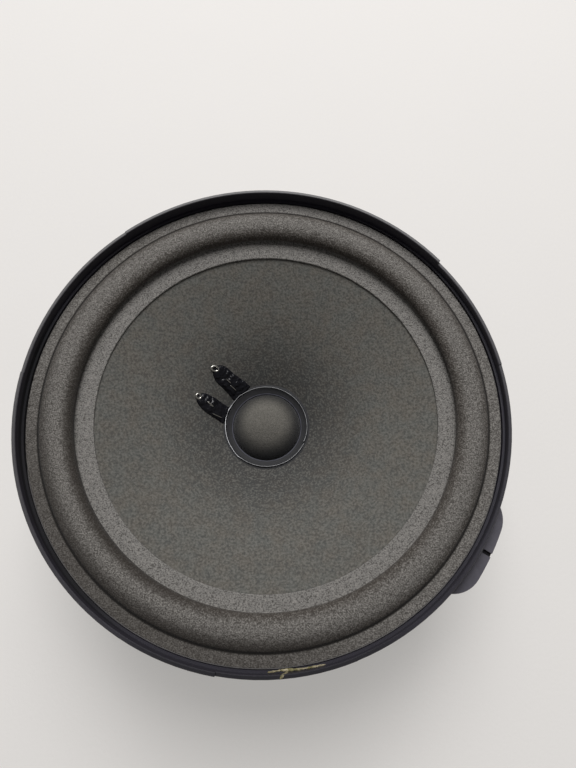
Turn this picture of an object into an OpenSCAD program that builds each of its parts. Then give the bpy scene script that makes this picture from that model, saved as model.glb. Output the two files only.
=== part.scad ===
// Car door loudspeaker, 165 mm: a moulded basket, a ferrite motor and a sprung cone.
// The origin is the centre of the motor's back face. +Z points out of the cone's mouth,
// +X and +Y are the right and the top of the speaker seen from the front. Millimetres.

/* [Rim] */
// Outer radius of the basket's rim, over the lip
rim_r = 82.5; // [76:0.5:92]
// Width of the rim's flange outside the spigot
flange_w = 8; // [7.2:0.1:8.8]
// Thickness of the lip that stands round the rim
lip_t = 1.26; // [1:0.02:1.6]
// Width of the ledge between the lip and the recess for the surround
ledge_w = 0.8; // [0.5:0.1:1.2]
// Height of the ledge above the surround's flange
ledge_h = 0.7; // [0.4:0.1:1.2]
// Height of the low part of the lip above the surround's flange
lip_low_h = 3.5; // [2.5:0.1:4.5]
// How far the high part of the lip stands above the low part
lip_high_extra = 1.7; // [1:0.1:2.5]
// Small step of the lip over each locking lug
lip_step = 0.35; // [0.1:0.05:0.6]
// Chamfer on the lip's top edges
lip_chamfer = 0.25; // [0.1:0.05:0.4]
// Thickness of the rim's flange below the surround
flange_t = 3.5; // [2.5:0.1:5]

/* [Locking lugs and ear] */
// Angles of the three locking lugs behind the rim, keyed so that it fits one way only
lug_angles = [25.6, 150.4, 275.3];
// Half the arc of the stepped lip over each lug, in degrees
lug_zone_half = [15.1, 21.9, 14.8];
// Arc of each lug, in degrees
lug_arc = 11; // [6:0.5:16]
// How far a lug reaches out from the spigot
lug_reach = 4.7; // [3:0.1:5.5]
// Thickness of a lug
lug_t = 2.8; // [2:0.1:3.5]
// Thickness of the panel that the lugs lock behind
panel_t = 2.6; // [1.5:0.1:3]
// Angle of the grip ear
ear_angle = 326.8; // [320:0.1:335]
// How far the ear reaches out beyond the rim
ear_reach = 4.8; // [3:0.1:7]
// Radius of the discs that round the ear's ends into the rim
ear_end_r = 10.3; // [8:0.1:12]
// Arc between the middles of those discs, in degrees
ear_arc = 11.6; // [8:0.2:14]
// Turn of the ear about the middle of its outer edge, in degrees
ear_tilt = 2.7; // [0:0.1:4]
// Thickness of the ear
ear_t = 2.2; // [1.5:0.1:2.5]
// Width of the index slot in the ear's edge
ear_slot_w = 1.3; // [1:0.1:2.5]
// How far the index slot runs in from the edge
ear_slot_d = 3; // [1.5:0.1:3.2]
// Thickness of the ear that is left under the index slot
ear_slot_floor = 1.2; // [0.8:0.1:1.5]

/* [Basket] */
// Length of the spigot below the flange
spigot_len = 8.5; // [8:0.1:10]
// Wall thickness of the moulding
wall_t = 2.2; // [1.8:0.1:2.8]
// Width of the floor's edge outside the spider's landing
floor_margin = 2; // [1.6:0.1:2.6]
// Thickness of the floor
floor_t = 2.8; // [2:0.1:3.2]
// Gap between the floor's hole and the moving coil
floor_hole_gap = 3.1; // [2:0.1:5]
// Number of legs between floor and rim
leg_count = 6; // [5:1:7]
// Width of a leg
leg_w = 12; // [9:0.5:14]
// Thickness of the rib along the back of each leg
rib_t = 2.4; // [1.6:0.1:3.2]
// How far the rib stands out from the leg at the floor
rib_depth = 5; // [3:0.5:6]
// From the floor's edge to the windows between the legs
window_inset = 3.5; // [3:0.1:5]
// From the windows to the spigot's outer face
window_margin = 4; // [3.5:0.1:6]
// Corner radius of the windows as a share of their depth
window_corner = 0.23; // [0.15:0.01:0.3]
// Height of the landing for the spider above the floor
landing_h = 6.2; // [5.8:0.1:7]
// From the rivets' middle to the landing's outer face
rivet_room = 7.5; // [7:0.1:9]
// Width of the landing's seat
landing_w = 6; // [5:0.1:6.5]
// Thickness of the landing's seat and wall
landing_t = 2; // [1.5:0.1:2.4]
// Width of the vents through the landing's wall
vent_w = 10; // [6:0.5:14]
// Thickness of the sealing ring behind the rim
gasket_t = 2; // [1.5:0.1:2.5]
// Gap between the spigot and the sealing ring
gasket_gap = 1.5; // [0.5:0.1:2]
// Gap between the sealing ring and the rim's edge
gasket_margin = 1; // [0.5:0.1:2]

/* [Connector] */
// Angle of the connector, in the middle between the two eyelets
terminal_angle = 146; // [144:0.5:148]
// Width of the connector's body, across the radius
socket_w = 19; // [18:0.1:20]
// Depth of the connector's body, along the radius
socket_d = 11; // [10:0.1:11.5]
// Wall thickness of the connector's body
socket_wall = 1.4; // [1:0.1:1.6]
// Length of the connector's body below the shelf
socket_len = 12; // [10:0.5:13]
// Thickness of the block that holds the blades
socket_roof_t = 3; // [2:0.1:4]
// Thickness of the connector's top flange
socket_flange_t = 2; // [1.5:0.1:2.5]
// How far the flange and the shelf's bay stand out round the body
socket_flange = 1; // [0.8:0.1:1.2]
// Gap between the body and the shelf's hole
socket_gap = 0.2; // [0.1:0.05:0.3]
// From the landing's outer face to the connector's middle
socket_room = 7; // [6.8:0.1:7.6]
// Thickness of the shelf that carries the connector
shelf_t = 2.5; // [2:0.1:3]
// Height of the shelf's underside above the basket's floor
shelf_h = 14.2; // [13.5:0.1:15]
// Distance between the two blades
blade_pitch = 8.4; // [8:0.1:9]
// Width of a blade
blade_w = 4.8; // [3:0.1:5]
// Thickness of a blade
blade_t = 0.8; // [0.5:0.05:1]
// How far a blade reaches down into the socket
blade_len = 8; // [6:0.5:9]
// Height of a blade's solder tab above its shoulder
tab_h = 3.2; // [3:0.1:4]
// Width of a solder tab
tab_w = 3.2; // [2.4:0.1:4]

/* [Motor] */
// How far the back plate's edge stands inside the magnet's
back_plate_inset = 1.5; // [0:0.1:4]
// Thickness of the back plate
back_plate_t = 5.5; // [4:0.5:8]
// Radius of the ring magnet
magnet_r = 37.5; // [34:0.5:41]
// Radius of the magnet's bore
magnet_bore_r = 22; // [19:0.5:24]
// Thickness of the magnet
magnet_t = 13; // [12:0.5:16]
// Thickness of the top plate
top_plate_t = 4.5; // [4:0.5:6]
// Chamfer on the edges of the steel plates
plate_chamfer = 0.8; // [0.3:0.1:1.2]
// Chamfer on the magnet's edges
magnet_chamfer = 0.6; // [0.2:0.1:1]
// Radius of the pole piece's staked spigot
pole_spigot_r = 7; // [5:0.5:9]
// Chamfer round the top of the pole
pole_chamfer = 0.5; // [0.2:0.1:0.8]
// Radial gap between the pole and the former
pole_gap = 0.4; // [0.35:0.05:0.6]
// Radial gap between the winding and the top plate
plate_gap = 0.55; // [0.45:0.05:0.8]
// Number of rivets that hold the top plate to the basket
rivet_count = 4; // [3:1:6]
// Radius of a rivet's shank
rivet_r = 1.9; // [1.5:0.1:2]
// Radius of a rivet's head
rivet_head_r = 2.9; // [2.5:0.1:3]
// Height of a rivet's head
rivet_head_h = 1.3; // [0.8:0.1:1.6]
// Distance of the rivets from the magnet's edge
rivet_margin = 5; // [4.5:0.1:5]
// Top plate beyond the rivets
plate_margin = 4.5; // [3.5:0.1:4.5]

/* [Voice coil] */
// Outer radius of the former
former_r = 15.8; // [15:0.1:16]
// Wall thickness of the former
former_wall = 0.35; // [0.3:0.05:0.5]
// Length of the former below the winding
former_tail = 1.2; // [0.5:0.1:2]
// Width of the former's slit
former_slit = 0.6; // [0.3:0.1:1]
// Angle of the slit
slit_angle = 337; // [0:1:359]
// Thickness of the winding
coil_t = 0.6; // [0.4:0.05:0.8]
// Length of the winding
coil_len = 11; // [8:0.5:13]

/* [Cone] */
// From the spider's landing up to the cone's neck
neck_gap = 3.2; // [3:0.1:5]
// From the surround's flange down to the former's top edge
ring_depth = 27.8; // [26:0.1:29]
// How far the former stands out of the cone's neck
neck_stand = 1.3; // [0.9:0.1:2]
// Drop of the cone's edge below the surround's flange
cone_edge_drop = 4.5; // [4:0.1:5]
// Gap between the cone's flat edge, under the surround, and the roll
cone_lip_gap = 0.5; // [0.3:0.1:1]
// Rise of the flat edge
cone_lip_rise = 0.75; // [0.5:0.05:1]
// Bulge of the flared profile over a straight cone
cone_flare = 1.2; // [0:0.1:2]
// Paper thickness
cone_t = 0.45; // [0.3:0.05:0.7]
// Width of the adhesive round the neck, beyond the former
neck_glue_w = 1; // [0.8:0.1:1.9]
// Height of that adhesive
neck_glue_h = 0.85; // [0.5:0.05:0.9]

/* [Dust cap] */
// Radius of the dome
cap_r = 13; // [12.5:0.1:13.4]
// Height of the dome
cap_h = 6.2; // [3:0.1:7]
// Thickness of the felt
cap_t = 0.5; // [0.3:0.05:0.8]
// Depth of the dome's edge below the former's top
cap_recess = 2.4; // [2:0.1:3]
// Roundness of the dome, 0.5 for an ellipse
cap_power = 0.55; // [0.5:0.01:0.8]
// How high the adhesive climbs inside the former
cap_glue_h = 1.5; // [1:0.1:1.6]

/* [Surround] */
// Thickness of the pressed flanges
foam_t = 0.8; // [0.5:0.05:1]
// Width of the outer flange, glued to the basket
outer_flange_w = 3.94; // [3.5:0.02:4.3]
// Width of the roll
roll_w = 10.7; // [10:0.1:12.5]
// Width of the inner flange, glued to the cone
inner_flange_w = 6; // [5:0.1:6.5]
// Height of the roll
roll_h = 4.9; // [4:0.1:6]
// How far the roll's crown leans towards the cone
roll_lean = 3; // [0:0.1:3.2]
// Thickness of the roll
roll_t = 1.15; // [0.8:0.05:1.4]
// Gap between the surround's edge and its recess
edge_gap = 0.5; // [0.3:0.05:0.6]
// How far the basket's seat reaches in under the roll
seat_inset = 0.4; // [0.2:0.1:0.8]
// Slope down from that seat to the spigot's bore
seat_chamfer = 3.2; // [2.5:0.1:3.3]
// Where the bead of edge glue starts
bead_start = 195; // [190:1:210]
// Arc of the bead
bead_arc = 145; // [120:1:150]

/* [Spider] */
// Number of waves
spider_waves = 5; // [3:1:7]
// Height of a wave above and below the middle
spider_amp = 1.1; // [0.6:0.1:1.3]
// Thickness of the cloth
spider_t = 0.5; // [0.3:0.05:0.7]
// Width of the flat ring between the collar and the waves
spider_flat_w = 3; // [2:0.1:4]
// Height of the collar on the former
spider_collar_h = 1.6; // [1:0.1:2]
// Gap between the spider's edge and the landing's edge
spider_margin = 0.5; // [0.2:0.1:1]

/* [Lead-outs] */
// Distance of the first eyelet from the axis
eyelet_1_r = 28.8; // [27:0.1:31]
// Angle of the first eyelet
eyelet_1_angle = 133.9; // [130:0.1:138]
// Angle at which the first lead-out leaves the neck
lead_1_angle = 127; // [120:1:132]
// Distance of the second eyelet from the axis
eyelet_2_r = 27.7; // [26:0.1:30]
// Angle of the second eyelet
eyelet_2_angle = 159; // [156:0.1:163]
// Angle at which the second lead-out leaves the neck
lead_2_angle = 163; // [158:1:170]
// Radius of an eyelet's flange
eyelet_flange_r = 1.6; // [1.4:0.1:1.9]
// Radius of an eyelet's barrel
eyelet_barrel_r = 1.1; // [0.9:0.05:1.2]
// Radius of an eyelet's hole
eyelet_hole_r = 0.65; // [0.5:0.05:0.75]
// Thickness of an eyelet's flange
eyelet_flange_t = 0.4; // [0.3:0.05:0.5]
// Radius of a lead-out wire
coil_lead_r = 0.3; // [0.2:0.02:0.35]
// Arc of the first cement ridge round the neck, in degrees
cement_1_arc = 27; // [20:1:27]
// Arc of the second cement ridge round the neck, in degrees
cement_2_arc = 29; // [24:1:32]
// Half the width of the first ridge at its eyelet
cement_1_tip_w = 2.6; // [1.8:0.1:2.6]
// Half the width of the second ridge at its eyelet
cement_2_tip_w = 2; // [1.4:0.1:2]
// How much each side of a ridge bulges between neck and eyelet
cement_bulge = 0.4; // [0:0.05:0.6]
// Height of the cement
cement_h = 1.5; // [1.2:0.1:1.8]
// Radius of a tinsel lead
tinsel_r = 0.6; // [0.4:0.05:0.6]
// How far a tinsel lead drops from its eyelet before it turns out
tinsel_drop = 9; // [6:0.5:10]
// How far it runs straight towards its solder tab
tinsel_reach = 15; // [10:0.5:18]

/* [Hidden] */
$fn = 120;
eps = 0.05;
fit = 0.05;

// Heights up the axis, from the back plate to the lip
magnet_z = back_plate_t;
top_plate_z = magnet_z + magnet_t;
base_z = top_plate_z + top_plate_t;
floor_z = base_z + floor_t;
landing_z = floor_z + landing_h;
shelf_z = floor_z + shelf_h;
neck_z = landing_z + neck_gap;
ring_z = neck_z + neck_stand;
cap_z = ring_z - cap_recess;
foam_z = ring_z + ring_depth;
cone_edge_z = foam_z - cone_edge_drop;
seat_z = foam_z - foam_t;
flange_z = seat_z - flange_t;
spigot_z = flange_z - spigot_len;
gasket_z = flange_z - gasket_t;
lug_z = gasket_z - panel_t;
ledge_z = foam_z + ledge_h;
lip_low_z = foam_z + lip_low_h;
lip_high_z = lip_low_z + lip_high_extra;
coil_z = top_plate_z + top_plate_t / 2 - coil_len / 2;
former_z = coil_z - former_tail;

// Radii of the front, from the rim inwards
lip_r = rim_r - lip_t;
recess_r = lip_r - ledge_w;
foam_r = recess_r - edge_gap;
spigot_r = rim_r - flange_w;
bore_r = spigot_r - wall_t;
lug_r = spigot_r + lug_reach;
roll_r1 = foam_r - outer_flange_w;
roll_r0 = roll_r1 - roll_w;
seat_r = roll_r1 - seat_inset;
cone_edge_r = roll_r0 - inner_flange_w;
cone_lip_r = roll_r0 - cone_lip_gap;

// Radii of the motor and what stands round it, from the former outwards
former_bore = former_r - former_wall;
pole_r = former_bore - pole_gap;
coil_r = former_r + coil_t;
plate_bore = coil_r + plate_gap;
floor_bore = coil_r + floor_hole_gap;
back_plate_r = magnet_r - back_plate_inset;
rivet_ring_r = magnet_r + rivet_margin;
top_plate_r = rivet_ring_r + plate_margin;
landing_r = rivet_ring_r + rivet_room;
spider_r = landing_r - spider_margin;
floor_r = landing_r + floor_margin;
socket_r = landing_r + socket_room;
window_r0 = floor_r + window_inset;
window_r1 = spigot_r - window_margin;
window_corner_r = window_corner * (window_r1 - window_r0);

// The wall between floor and spigot: a straight slope, square to which the wall has its thickness
wall_rise = spigot_z - base_z - wall_t;
wall_slope = (spigot_r - floor_r) / wall_rise;
wall_across = wall_t * sqrt(1 + wall_slope * wall_slope);
leg_step = 360 / leg_count;
leg_angles = [for (i = [0:leg_count - 1]) terminal_angle + (i + 0.5) * leg_step];
window_angles = [for (i = [1:leg_count - 1]) terminal_angle + i * leg_step];

// The cone's upper surface, as points (radius, height): a chord with a parabolic bulge
cone_steps = 8;
cone_line = [for (i = [0:cone_steps])
    let (t = i / cone_steps)
    [former_r + t * (cone_edge_r - former_r),
     neck_z + t * (cone_edge_z - neck_z) + 4 * cone_flare * t * (1 - t)]];
cone_drop = cone_t * norm([cone_edge_r - former_r, cone_edge_z - neck_z]) / (cone_edge_r - former_r);
function cone_top(r) = lookup(r, cone_line);
function cone_lean(r) = atan(cone_top(r + 0.5) - cone_top(r - 0.5));
eyelet_r = [eyelet_1_r, eyelet_2_r];
eyelet_angle = [eyelet_1_angle, eyelet_2_angle];
lead_angle = [lead_1_angle, lead_2_angle];
cement_arc = [cement_1_arc, cement_2_arc];
cement_tip_w = [cement_1_tip_w, cement_2_tip_w];

function polar(r, a) = [r * cos(a), r * sin(a)];
function arc(centre, r, a0, a1, steps) =
    [for (i = [0:steps]) centre + polar(r, a0 + (a1 - a0) * i / steps)];
function lower(points, drop) =
    [for (i = [len(points) - 1:-1:0]) [points[i].x, points[i].y - drop]];

// Solid of revolution from an outline of (radius, height) points
module turned(outline) {
    rotate_extrude() polygon(outline);
}

// Part of a solid of revolution, from one angle to another
module turned_arc(outline, from, to) {
    rotate([0, 0, from]) rotate_extrude(angle = to - from) polygon(outline);
}

// Closed solid through a list of rings with equal numbers of points, with flat ends
module skin(rings) {
    n = len(rings[0]);
    last = len(rings) - 1;
    points = [for (ring = rings) each ring];
    sides = [for (j = [0:last - 1], i = [0:n - 1], half = [0, 1])
        let (a = j * n + i, b = j * n + (i + 1) % n)
        half == 0 ? [a, b, b + n] : [a, b + n, a + n]];
    start = [for (i = [1:n - 2]) [0, i + 1, i]];
    end = [for (i = [1:n - 2]) [last * n, last * n + i, last * n + i + 1]];
    polyhedron(points, concat(sides, start, end));
}

// Straight round bar from a to b
module bar(a, b, r) {
    d = b - a;
    translate(a)
        rotate([0, acos(d.z / norm(d)), atan2(d.y, d.x)])
            cylinder(h = norm(d), r = r, $fn = 24);
}

// Outline of a window between two legs: a sector with four rounded corners.
// Each corner circle touches one arc and one leg's side, so its centre follows from both.
function corner_centre(r, side) =
    let (off = leg_w / 2 + window_corner_r, along = sqrt(r * r - off * off))
    let (p = [along, side * off], a = -side * leg_step / 2)
    [p.x * cos(a) - p.y * sin(a), p.x * sin(a) + p.y * cos(a)];

function window_outline() =
    let (q = window_corner_r, h = leg_step / 2)
    let (outer = corner_centre(window_r1 - q, -1), inner = corner_centre(window_r0 + q, -1))
    let (a_out = atan2(outer.y, outer.x), a_in = atan2(inner.y, inner.x))
    concat(
        arc([0, 0], window_r1, -a_out, a_out, 10),
        arc(outer, q, a_out, h + 90, 5),
        arc(inner, q, h + 90, a_in + 180, 4),
        arc([0, 0], window_r0, a_in, -a_in, 10),
        arc([inner.x, -inner.y], q, 180 - a_in, 270 - h, 4),
        arc([outer.x, -outer.y], q, 270 - h, 360 - a_out, 5));

// The basket's revolved body: rim, ledge, seat, spigot, sloping wall and floor
module basket_body() {
    turned([
        [floor_bore, base_z],
        [floor_r, base_z],
        [floor_r, base_z + wall_t],
        [spigot_r, spigot_z],
        [spigot_r, flange_z],
        [rim_r, flange_z],
        [rim_r, lip_high_z - lip_chamfer],
        [rim_r - lip_chamfer, lip_high_z],
        [lip_r + lip_chamfer, lip_high_z],
        [lip_r, lip_high_z - lip_chamfer],
        [lip_r, ledge_z],
        [recess_r, ledge_z],
        [recess_r, seat_z],
        [seat_r, seat_z],
        [bore_r, seat_z - seat_chamfer],
        [bore_r, spigot_z + (wall_across - wall_t) / wall_slope],
        [floor_r + (floor_t - wall_t) * wall_slope - wall_across, floor_z],
        [floor_bore, floor_z]
    ]);
}

// Section of the air above a stretch of lip whose chamfered top is at a height
function over_lip(top, out) =
    let (sky = lip_high_z + out, foot = top - lip_chamfer - out)
    [[lip_r - out, sky], [lip_r - out, foot], [lip_r + lip_chamfer, top],
     [rim_r - lip_chamfer, top], [rim_r + out, foot], [rim_r + out, sky]];

// What is cut off the high lip: a small step over the second lug, the stretch from the
// third lug to the first down to their steps, and between those two the low stretch
module lip_cuts() {
    from = [for (i = [0:2]) lug_angles[i] - lug_zone_half[i]];
    to = [for (i = [0:2]) lug_angles[i] + lug_zone_half[i]];
    turned_arc(over_lip(lip_high_z - lip_step, 0.8), from[1], to[1]);
    turned_arc(over_lip(lip_low_z + lip_step, 1), from[2], to[0] + 360);
    turned_arc(over_lip(lip_low_z, 1.2), to[2], from[0] + 360);
}

// Grip ear: a stretch of ring, its ends rounded by discs that touch its outer edge
module ear() {
    edge_r = rim_r + ear_reach;
    rotate([0, 0, ear_angle])
        difference() {
            translate([edge_r, 0, 0])
                rotate([0, 0, ear_tilt])
                    translate([-edge_r, 0, 0])
                        difference() {
                            ear_plate(edge_r);
                            translate([edge_r - ear_slot_d, -ear_slot_w / 2, flange_z + ear_slot_floor])
                                cube([ear_slot_d + 1, ear_slot_w, ear_t]);
                        }
            translate([0, 0, flange_z - eps]) cylinder(h = ear_t + 2 * eps, r = lip_r);
        }
}

// The ear's plate before its slot is cut
module ear_plate(edge_r) {
    turned_arc([
        [lip_r - 1, flange_z], [edge_r, flange_z],
        [edge_r, flange_z + ear_t], [lip_r - 1, flange_z + ear_t]
    ], -ear_arc / 2, ear_arc / 2);
    for (side = [-1, 1])
        rotate([0, 0, side * ear_arc / 2])
            translate([edge_r - ear_end_r, 0, flange_z]) cylinder(h = ear_t, r = ear_end_r);
}

// Locking lugs, each with a lead-in chamfer on its rear edge
module lugs() {
    lead_in = lug_t / 3;
    for (a = lug_angles)
        turned_arc([
            [spigot_r - wall_t / 2, lug_z - lug_t],
            [lug_r - lead_in, lug_z - lug_t],
            [lug_r, lug_z - lug_t + lead_in],
            [lug_r, lug_z],
            [spigot_r - wall_t / 2, lug_z]
        ], a - lug_arc / 2, a + lug_arc / 2);
}

// Stiffening rib along the back of each leg, its foot a little above the floor's underside
module leg_ribs() {
    foot = base_z + wall_t / 4;
    for (a = leg_angles)
        rotate([0, 0, a])
            translate([0, rib_t / 2, 0])
                rotate([90, 0, 0])
                    linear_extrude(rib_t)
                        polygon([
                            [floor_r - wall_t / 2, foot],
                            [floor_r + rib_depth, foot],
                            [floor_r + rib_depth, base_z + wall_t],
                            [spigot_r, spigot_z - rib_depth / 2],
                            [spigot_r, spigot_z + wall_t],
                            [floor_r - wall_t / 2, base_z + wall_t]
                        ]);
}

// Landing for the spider: a ring wall with an inward seat on top, vented at its foot
module landing() {
    difference() {
        turned([
            [landing_r, floor_z - eps],
            [landing_r, landing_z],
            [landing_r - landing_w, landing_z],
            [landing_r - landing_w, landing_z - landing_t],
            [landing_r - landing_t, landing_z - landing_t],
            [landing_r - landing_t, floor_z - eps]
        ]);
        for (a = window_angles)
            rotate([0, 0, a])
                translate([landing_r - 2 * landing_t, -vent_w / 2, floor_z + 1])
                    cube([3 * landing_t, vent_w, landing_h - landing_t - 2]);
    }
}

bay_in = socket_r - socket_d / 2 - 2 * socket_flange;
bay_out = socket_r + socket_d / 2 + 2 * socket_flange;
bay_w = socket_w + 4 * socket_flange;

// Shelf that carries the connector in its bay, with a hole for the body
module shelf() {
    rotate([0, 0, terminal_angle])
        difference() {
            translate([bay_in, -bay_w / 2 - wall_t, shelf_z])
                cube([bay_out - bay_in + wall_t, bay_w + 2 * wall_t, shelf_t]);
            translate([socket_r - socket_d / 2 - socket_gap, -socket_w / 2 - socket_gap, shelf_z - eps])
                cube([socket_d + 2 * socket_gap, socket_w + 2 * socket_gap, shelf_t + 2 * eps]);
        }
}

module basket() {
    color([0.13, 0.13, 0.14])
        difference() {
            union() {
                difference() {
                    union() {
                        basket_body();
                        leg_ribs();
                    }
                    for (a = window_angles)
                        rotate([0, 0, a])
                            translate([0, 0, base_z + wall_t])
                                linear_extrude(spigot_z - base_z) polygon(window_outline());
                    rotate([0, 0, terminal_angle])
                        translate([bay_in, -bay_w / 2, floor_z])
                            cube([bay_out - bay_in, bay_w, shelf_h + shelf_t + socket_flange_t + 1]);
                }
                landing();
                ear();
                lugs();
                shelf();
            }
            lip_cuts();
            rivet_places()
                translate([0, 0, base_z - eps]) cylinder(h = floor_t + 2 * eps, r = rivet_r + fit);
        }
}

module rear_gasket() {
    color([0.2, 0.2, 0.2])
        turned([
            [spigot_r + gasket_gap, gasket_z],
            [rim_r - gasket_margin, gasket_z],
            [rim_r - gasket_margin, flange_z],
            [spigot_r + gasket_gap, flange_z]
        ]);
}

module edge_glue() {
    color([0.4, 0.4, 0.4])
        turned_arc([
            [foam_r + 2 * fit, seat_z],
            [recess_r, seat_z],
            [recess_r, foam_z + ledge_h / 2],
            [foam_r + 2 * fit, foam_z]
        ], bead_start, bead_start + bead_arc);
}

// Half-roll surround: two flanges, and a roll that leans in over the inner one and whose
// base climbs from the cone to the seat
module surround() {
    steps = 16;
    mid = (roll_r0 + roll_r1) / 2;
    half = (roll_r1 - roll_r0) / 2;
    rise = cone_lip_rise / (cone_lip_r - cone_edge_r);
    low = cone_edge_z + (roll_r0 - cone_edge_r) * rise;
    function base(r) = low + (seat_z - low) * (r - roll_r0) / (roll_r1 - roll_r0);
    outside = [for (i = [0:steps])
        let (a = 180 - 180 * i / steps, r = mid + half * cos(a) - roll_lean * sin(a))
        [r, base(r) + foam_t + roll_h * sin(a)]];
    inside = [for (i = [0:steps])
        let (a = 180 * i / steps, r = mid + (half - roll_t) * cos(a) - roll_lean * sin(a))
        [r, base(r) + (roll_h + foam_t - roll_t) * sin(a)]];
    color([0.36, 0.34, 0.31])
        turned(concat(
            [[cone_edge_r, cone_edge_z + foam_t]],
            outside,
            [[foam_r, foam_z], [foam_r, seat_z], [seat_r, seat_z]],
            inside,
            [[cone_lip_r, cone_edge_z + cone_lip_rise], [cone_edge_r, cone_edge_z]]));
}

module cone() {
    top = concat(cone_line, [[cone_lip_r, cone_edge_z + cone_lip_rise]]);
    color([0.25, 0.25, 0.24])
        difference() {
            turned(concat(top, lower(top, cone_drop)));
            for (k = [0, 1])
                at_eyelet(k)
                    translate([0, 0, -2]) cylinder(h = 4, r = eyelet_barrel_r + fit, $fn = 32);
        }
}

module neck_glue() {
    color([0.08, 0.08, 0.08])
        turned([
            [former_r, neck_z],
            [former_r + neck_glue_w, cone_top(former_r + neck_glue_w)],
            [former_r + neck_glue_w / 3, neck_z + neck_glue_h * 0.75],
            [former_r, neck_z + neck_glue_h + neck_stand / 4]
        ]);
}

// Felt dome with a flat flange that fills the former
module dust_cap() {
    steps = 12;
    dome = [for (i = [0:steps])
        let (s = sin(90 * i / steps))
        [cap_r * s, cap_z + cap_h * pow(1 - s * s, cap_power)]];
    inner = [for (i = [steps:-1:0])
        let (s = sin(90 * i / steps))
        [(cap_r - cap_t) * s, cap_z - cap_t + cap_h * pow(1 - s * s, cap_power)]];
    color([0.38, 0.36, 0.33])
        turned(concat(dome, [[former_bore, cap_z], [former_bore, cap_z - cap_t]], inner));
}

// Concave fillet of adhesive between the dome's edge and the former
module cap_glue() {
    steps = 6;
    width = former_bore - cap_r - 0.3;
    color([0.1, 0.1, 0.11])
        turned(concat(
            [[former_bore, cap_z]],
            [for (i = [0:steps])
                let (a = 90 * i / steps)
                [former_bore - width * (1 - sin(a)), cap_z + 0.1 + cap_glue_h * (1 - cos(a))]],
            [[former_bore - width, cap_z]]));
}

module former() {
    color([0.75, 0.75, 0.76])
        difference() {
            turned([
                [former_bore, former_z], [former_r, former_z],
                [former_r, ring_z], [former_bore, ring_z]
            ]);
            rotate([0, 0, slit_angle])
                translate([0, -former_slit / 2, ring_z - neck_stand / 2])
                    cube([former_r + 1, former_slit, neck_stand]);
        }
}

module voice_coil() {
    color([0.65, 0.32, 0.15])
        turned([
            [former_r, coil_z], [coil_r, coil_z],
            [coil_r, coil_z + coil_len], [former_r, coil_z + coil_len]
        ]);
}

// Corrugated cloth disc with a collar on the former and a flat foot on the landing
module spider() {
    per_wave = 8;
    count = per_wave * spider_waves;
    start = former_r + spider_flat_w;
    end = landing_r - landing_w - 0.4;
    waves = [for (i = [0:count])
        [start + (end - start) * i / count, landing_z + spider_amp * sin(360 * i / per_wave)]];
    top = concat(
        [[former_r, landing_z + spider_collar_h],
         [former_r + spider_t, landing_z + spider_collar_h],
         [former_r + spider_t, landing_z + spider_t]],
        [for (p = waves) [p.x, p.y + spider_t]],
        [[spider_r, landing_z + spider_t]]);
    bottom = concat([[spider_r, landing_z]], lower(waves, 0), [[former_r, landing_z]]);
    color([0.75, 0.6, 0.3]) turned(concat(top, bottom));
}

// Steel ring with chamfered outer edges
module plate(r, bore, z, t) {
    turned([
        [bore, z], [r - plate_chamfer, z], [r, z + plate_chamfer],
        [r, z + t - plate_chamfer], [r - plate_chamfer, z + t], [bore, z + t]
    ]);
}

module rivet_places() {
    for (i = [0:rivet_count - 1])
        rotate([0, 0, terminal_angle + (i + 0.5) * 360 / rivet_count])
            translate([rivet_ring_r, 0, 0])
                children();
}

module top_plate() {
    color([0.6, 0.6, 0.55])
        difference() {
            plate(top_plate_r, plate_bore, top_plate_z, top_plate_t);
            rivet_places()
                translate([0, 0, top_plate_z - 1]) cylinder(h = top_plate_t + 2, r = rivet_r + fit);
        }
}

// Rivets: shank, round head on the basket's floor and flared tail under the top plate
module plate_rivets() {
    color([0.7, 0.7, 0.7])
        rivet_places()
            turned([
                [0, top_plate_z - rivet_head_h],
                [rivet_head_r * 0.6, top_plate_z - rivet_head_h],
                [rivet_head_r * 0.9, top_plate_z - rivet_head_h / 2],
                [rivet_head_r, top_plate_z],
                [rivet_r, top_plate_z],
                [rivet_r, floor_z],
                [rivet_head_r, floor_z],
                [rivet_head_r * 0.9, floor_z + rivet_head_h / 2],
                [rivet_head_r * 0.6, floor_z + rivet_head_h],
                [0, floor_z + rivet_head_h]
            ]);
}

module magnet() {
    c = magnet_chamfer;
    color([0.18, 0.18, 0.19])
        turned([
            [magnet_bore_r, magnet_z], [magnet_r - c, magnet_z], [magnet_r, magnet_z + c],
            [magnet_r, top_plate_z - c], [magnet_r - c, top_plate_z], [magnet_bore_r, top_plate_z]
        ]);
}

module back_plate() {
    color([0.6, 0.6, 0.55]) plate(back_plate_r, pole_spigot_r, 0, back_plate_t);
}

// Pole with a shoulder on the back plate and a spigot staked through it
module pole_piece() {
    color([0.62, 0.62, 0.58])
        turned([
            [0, 0], [pole_spigot_r, 0], [pole_spigot_r, back_plate_t], [pole_r, back_plate_t],
            [pole_r, base_z - pole_chamfer], [pole_r - pole_chamfer, base_z], [0, base_z]
        ]);
}

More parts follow.
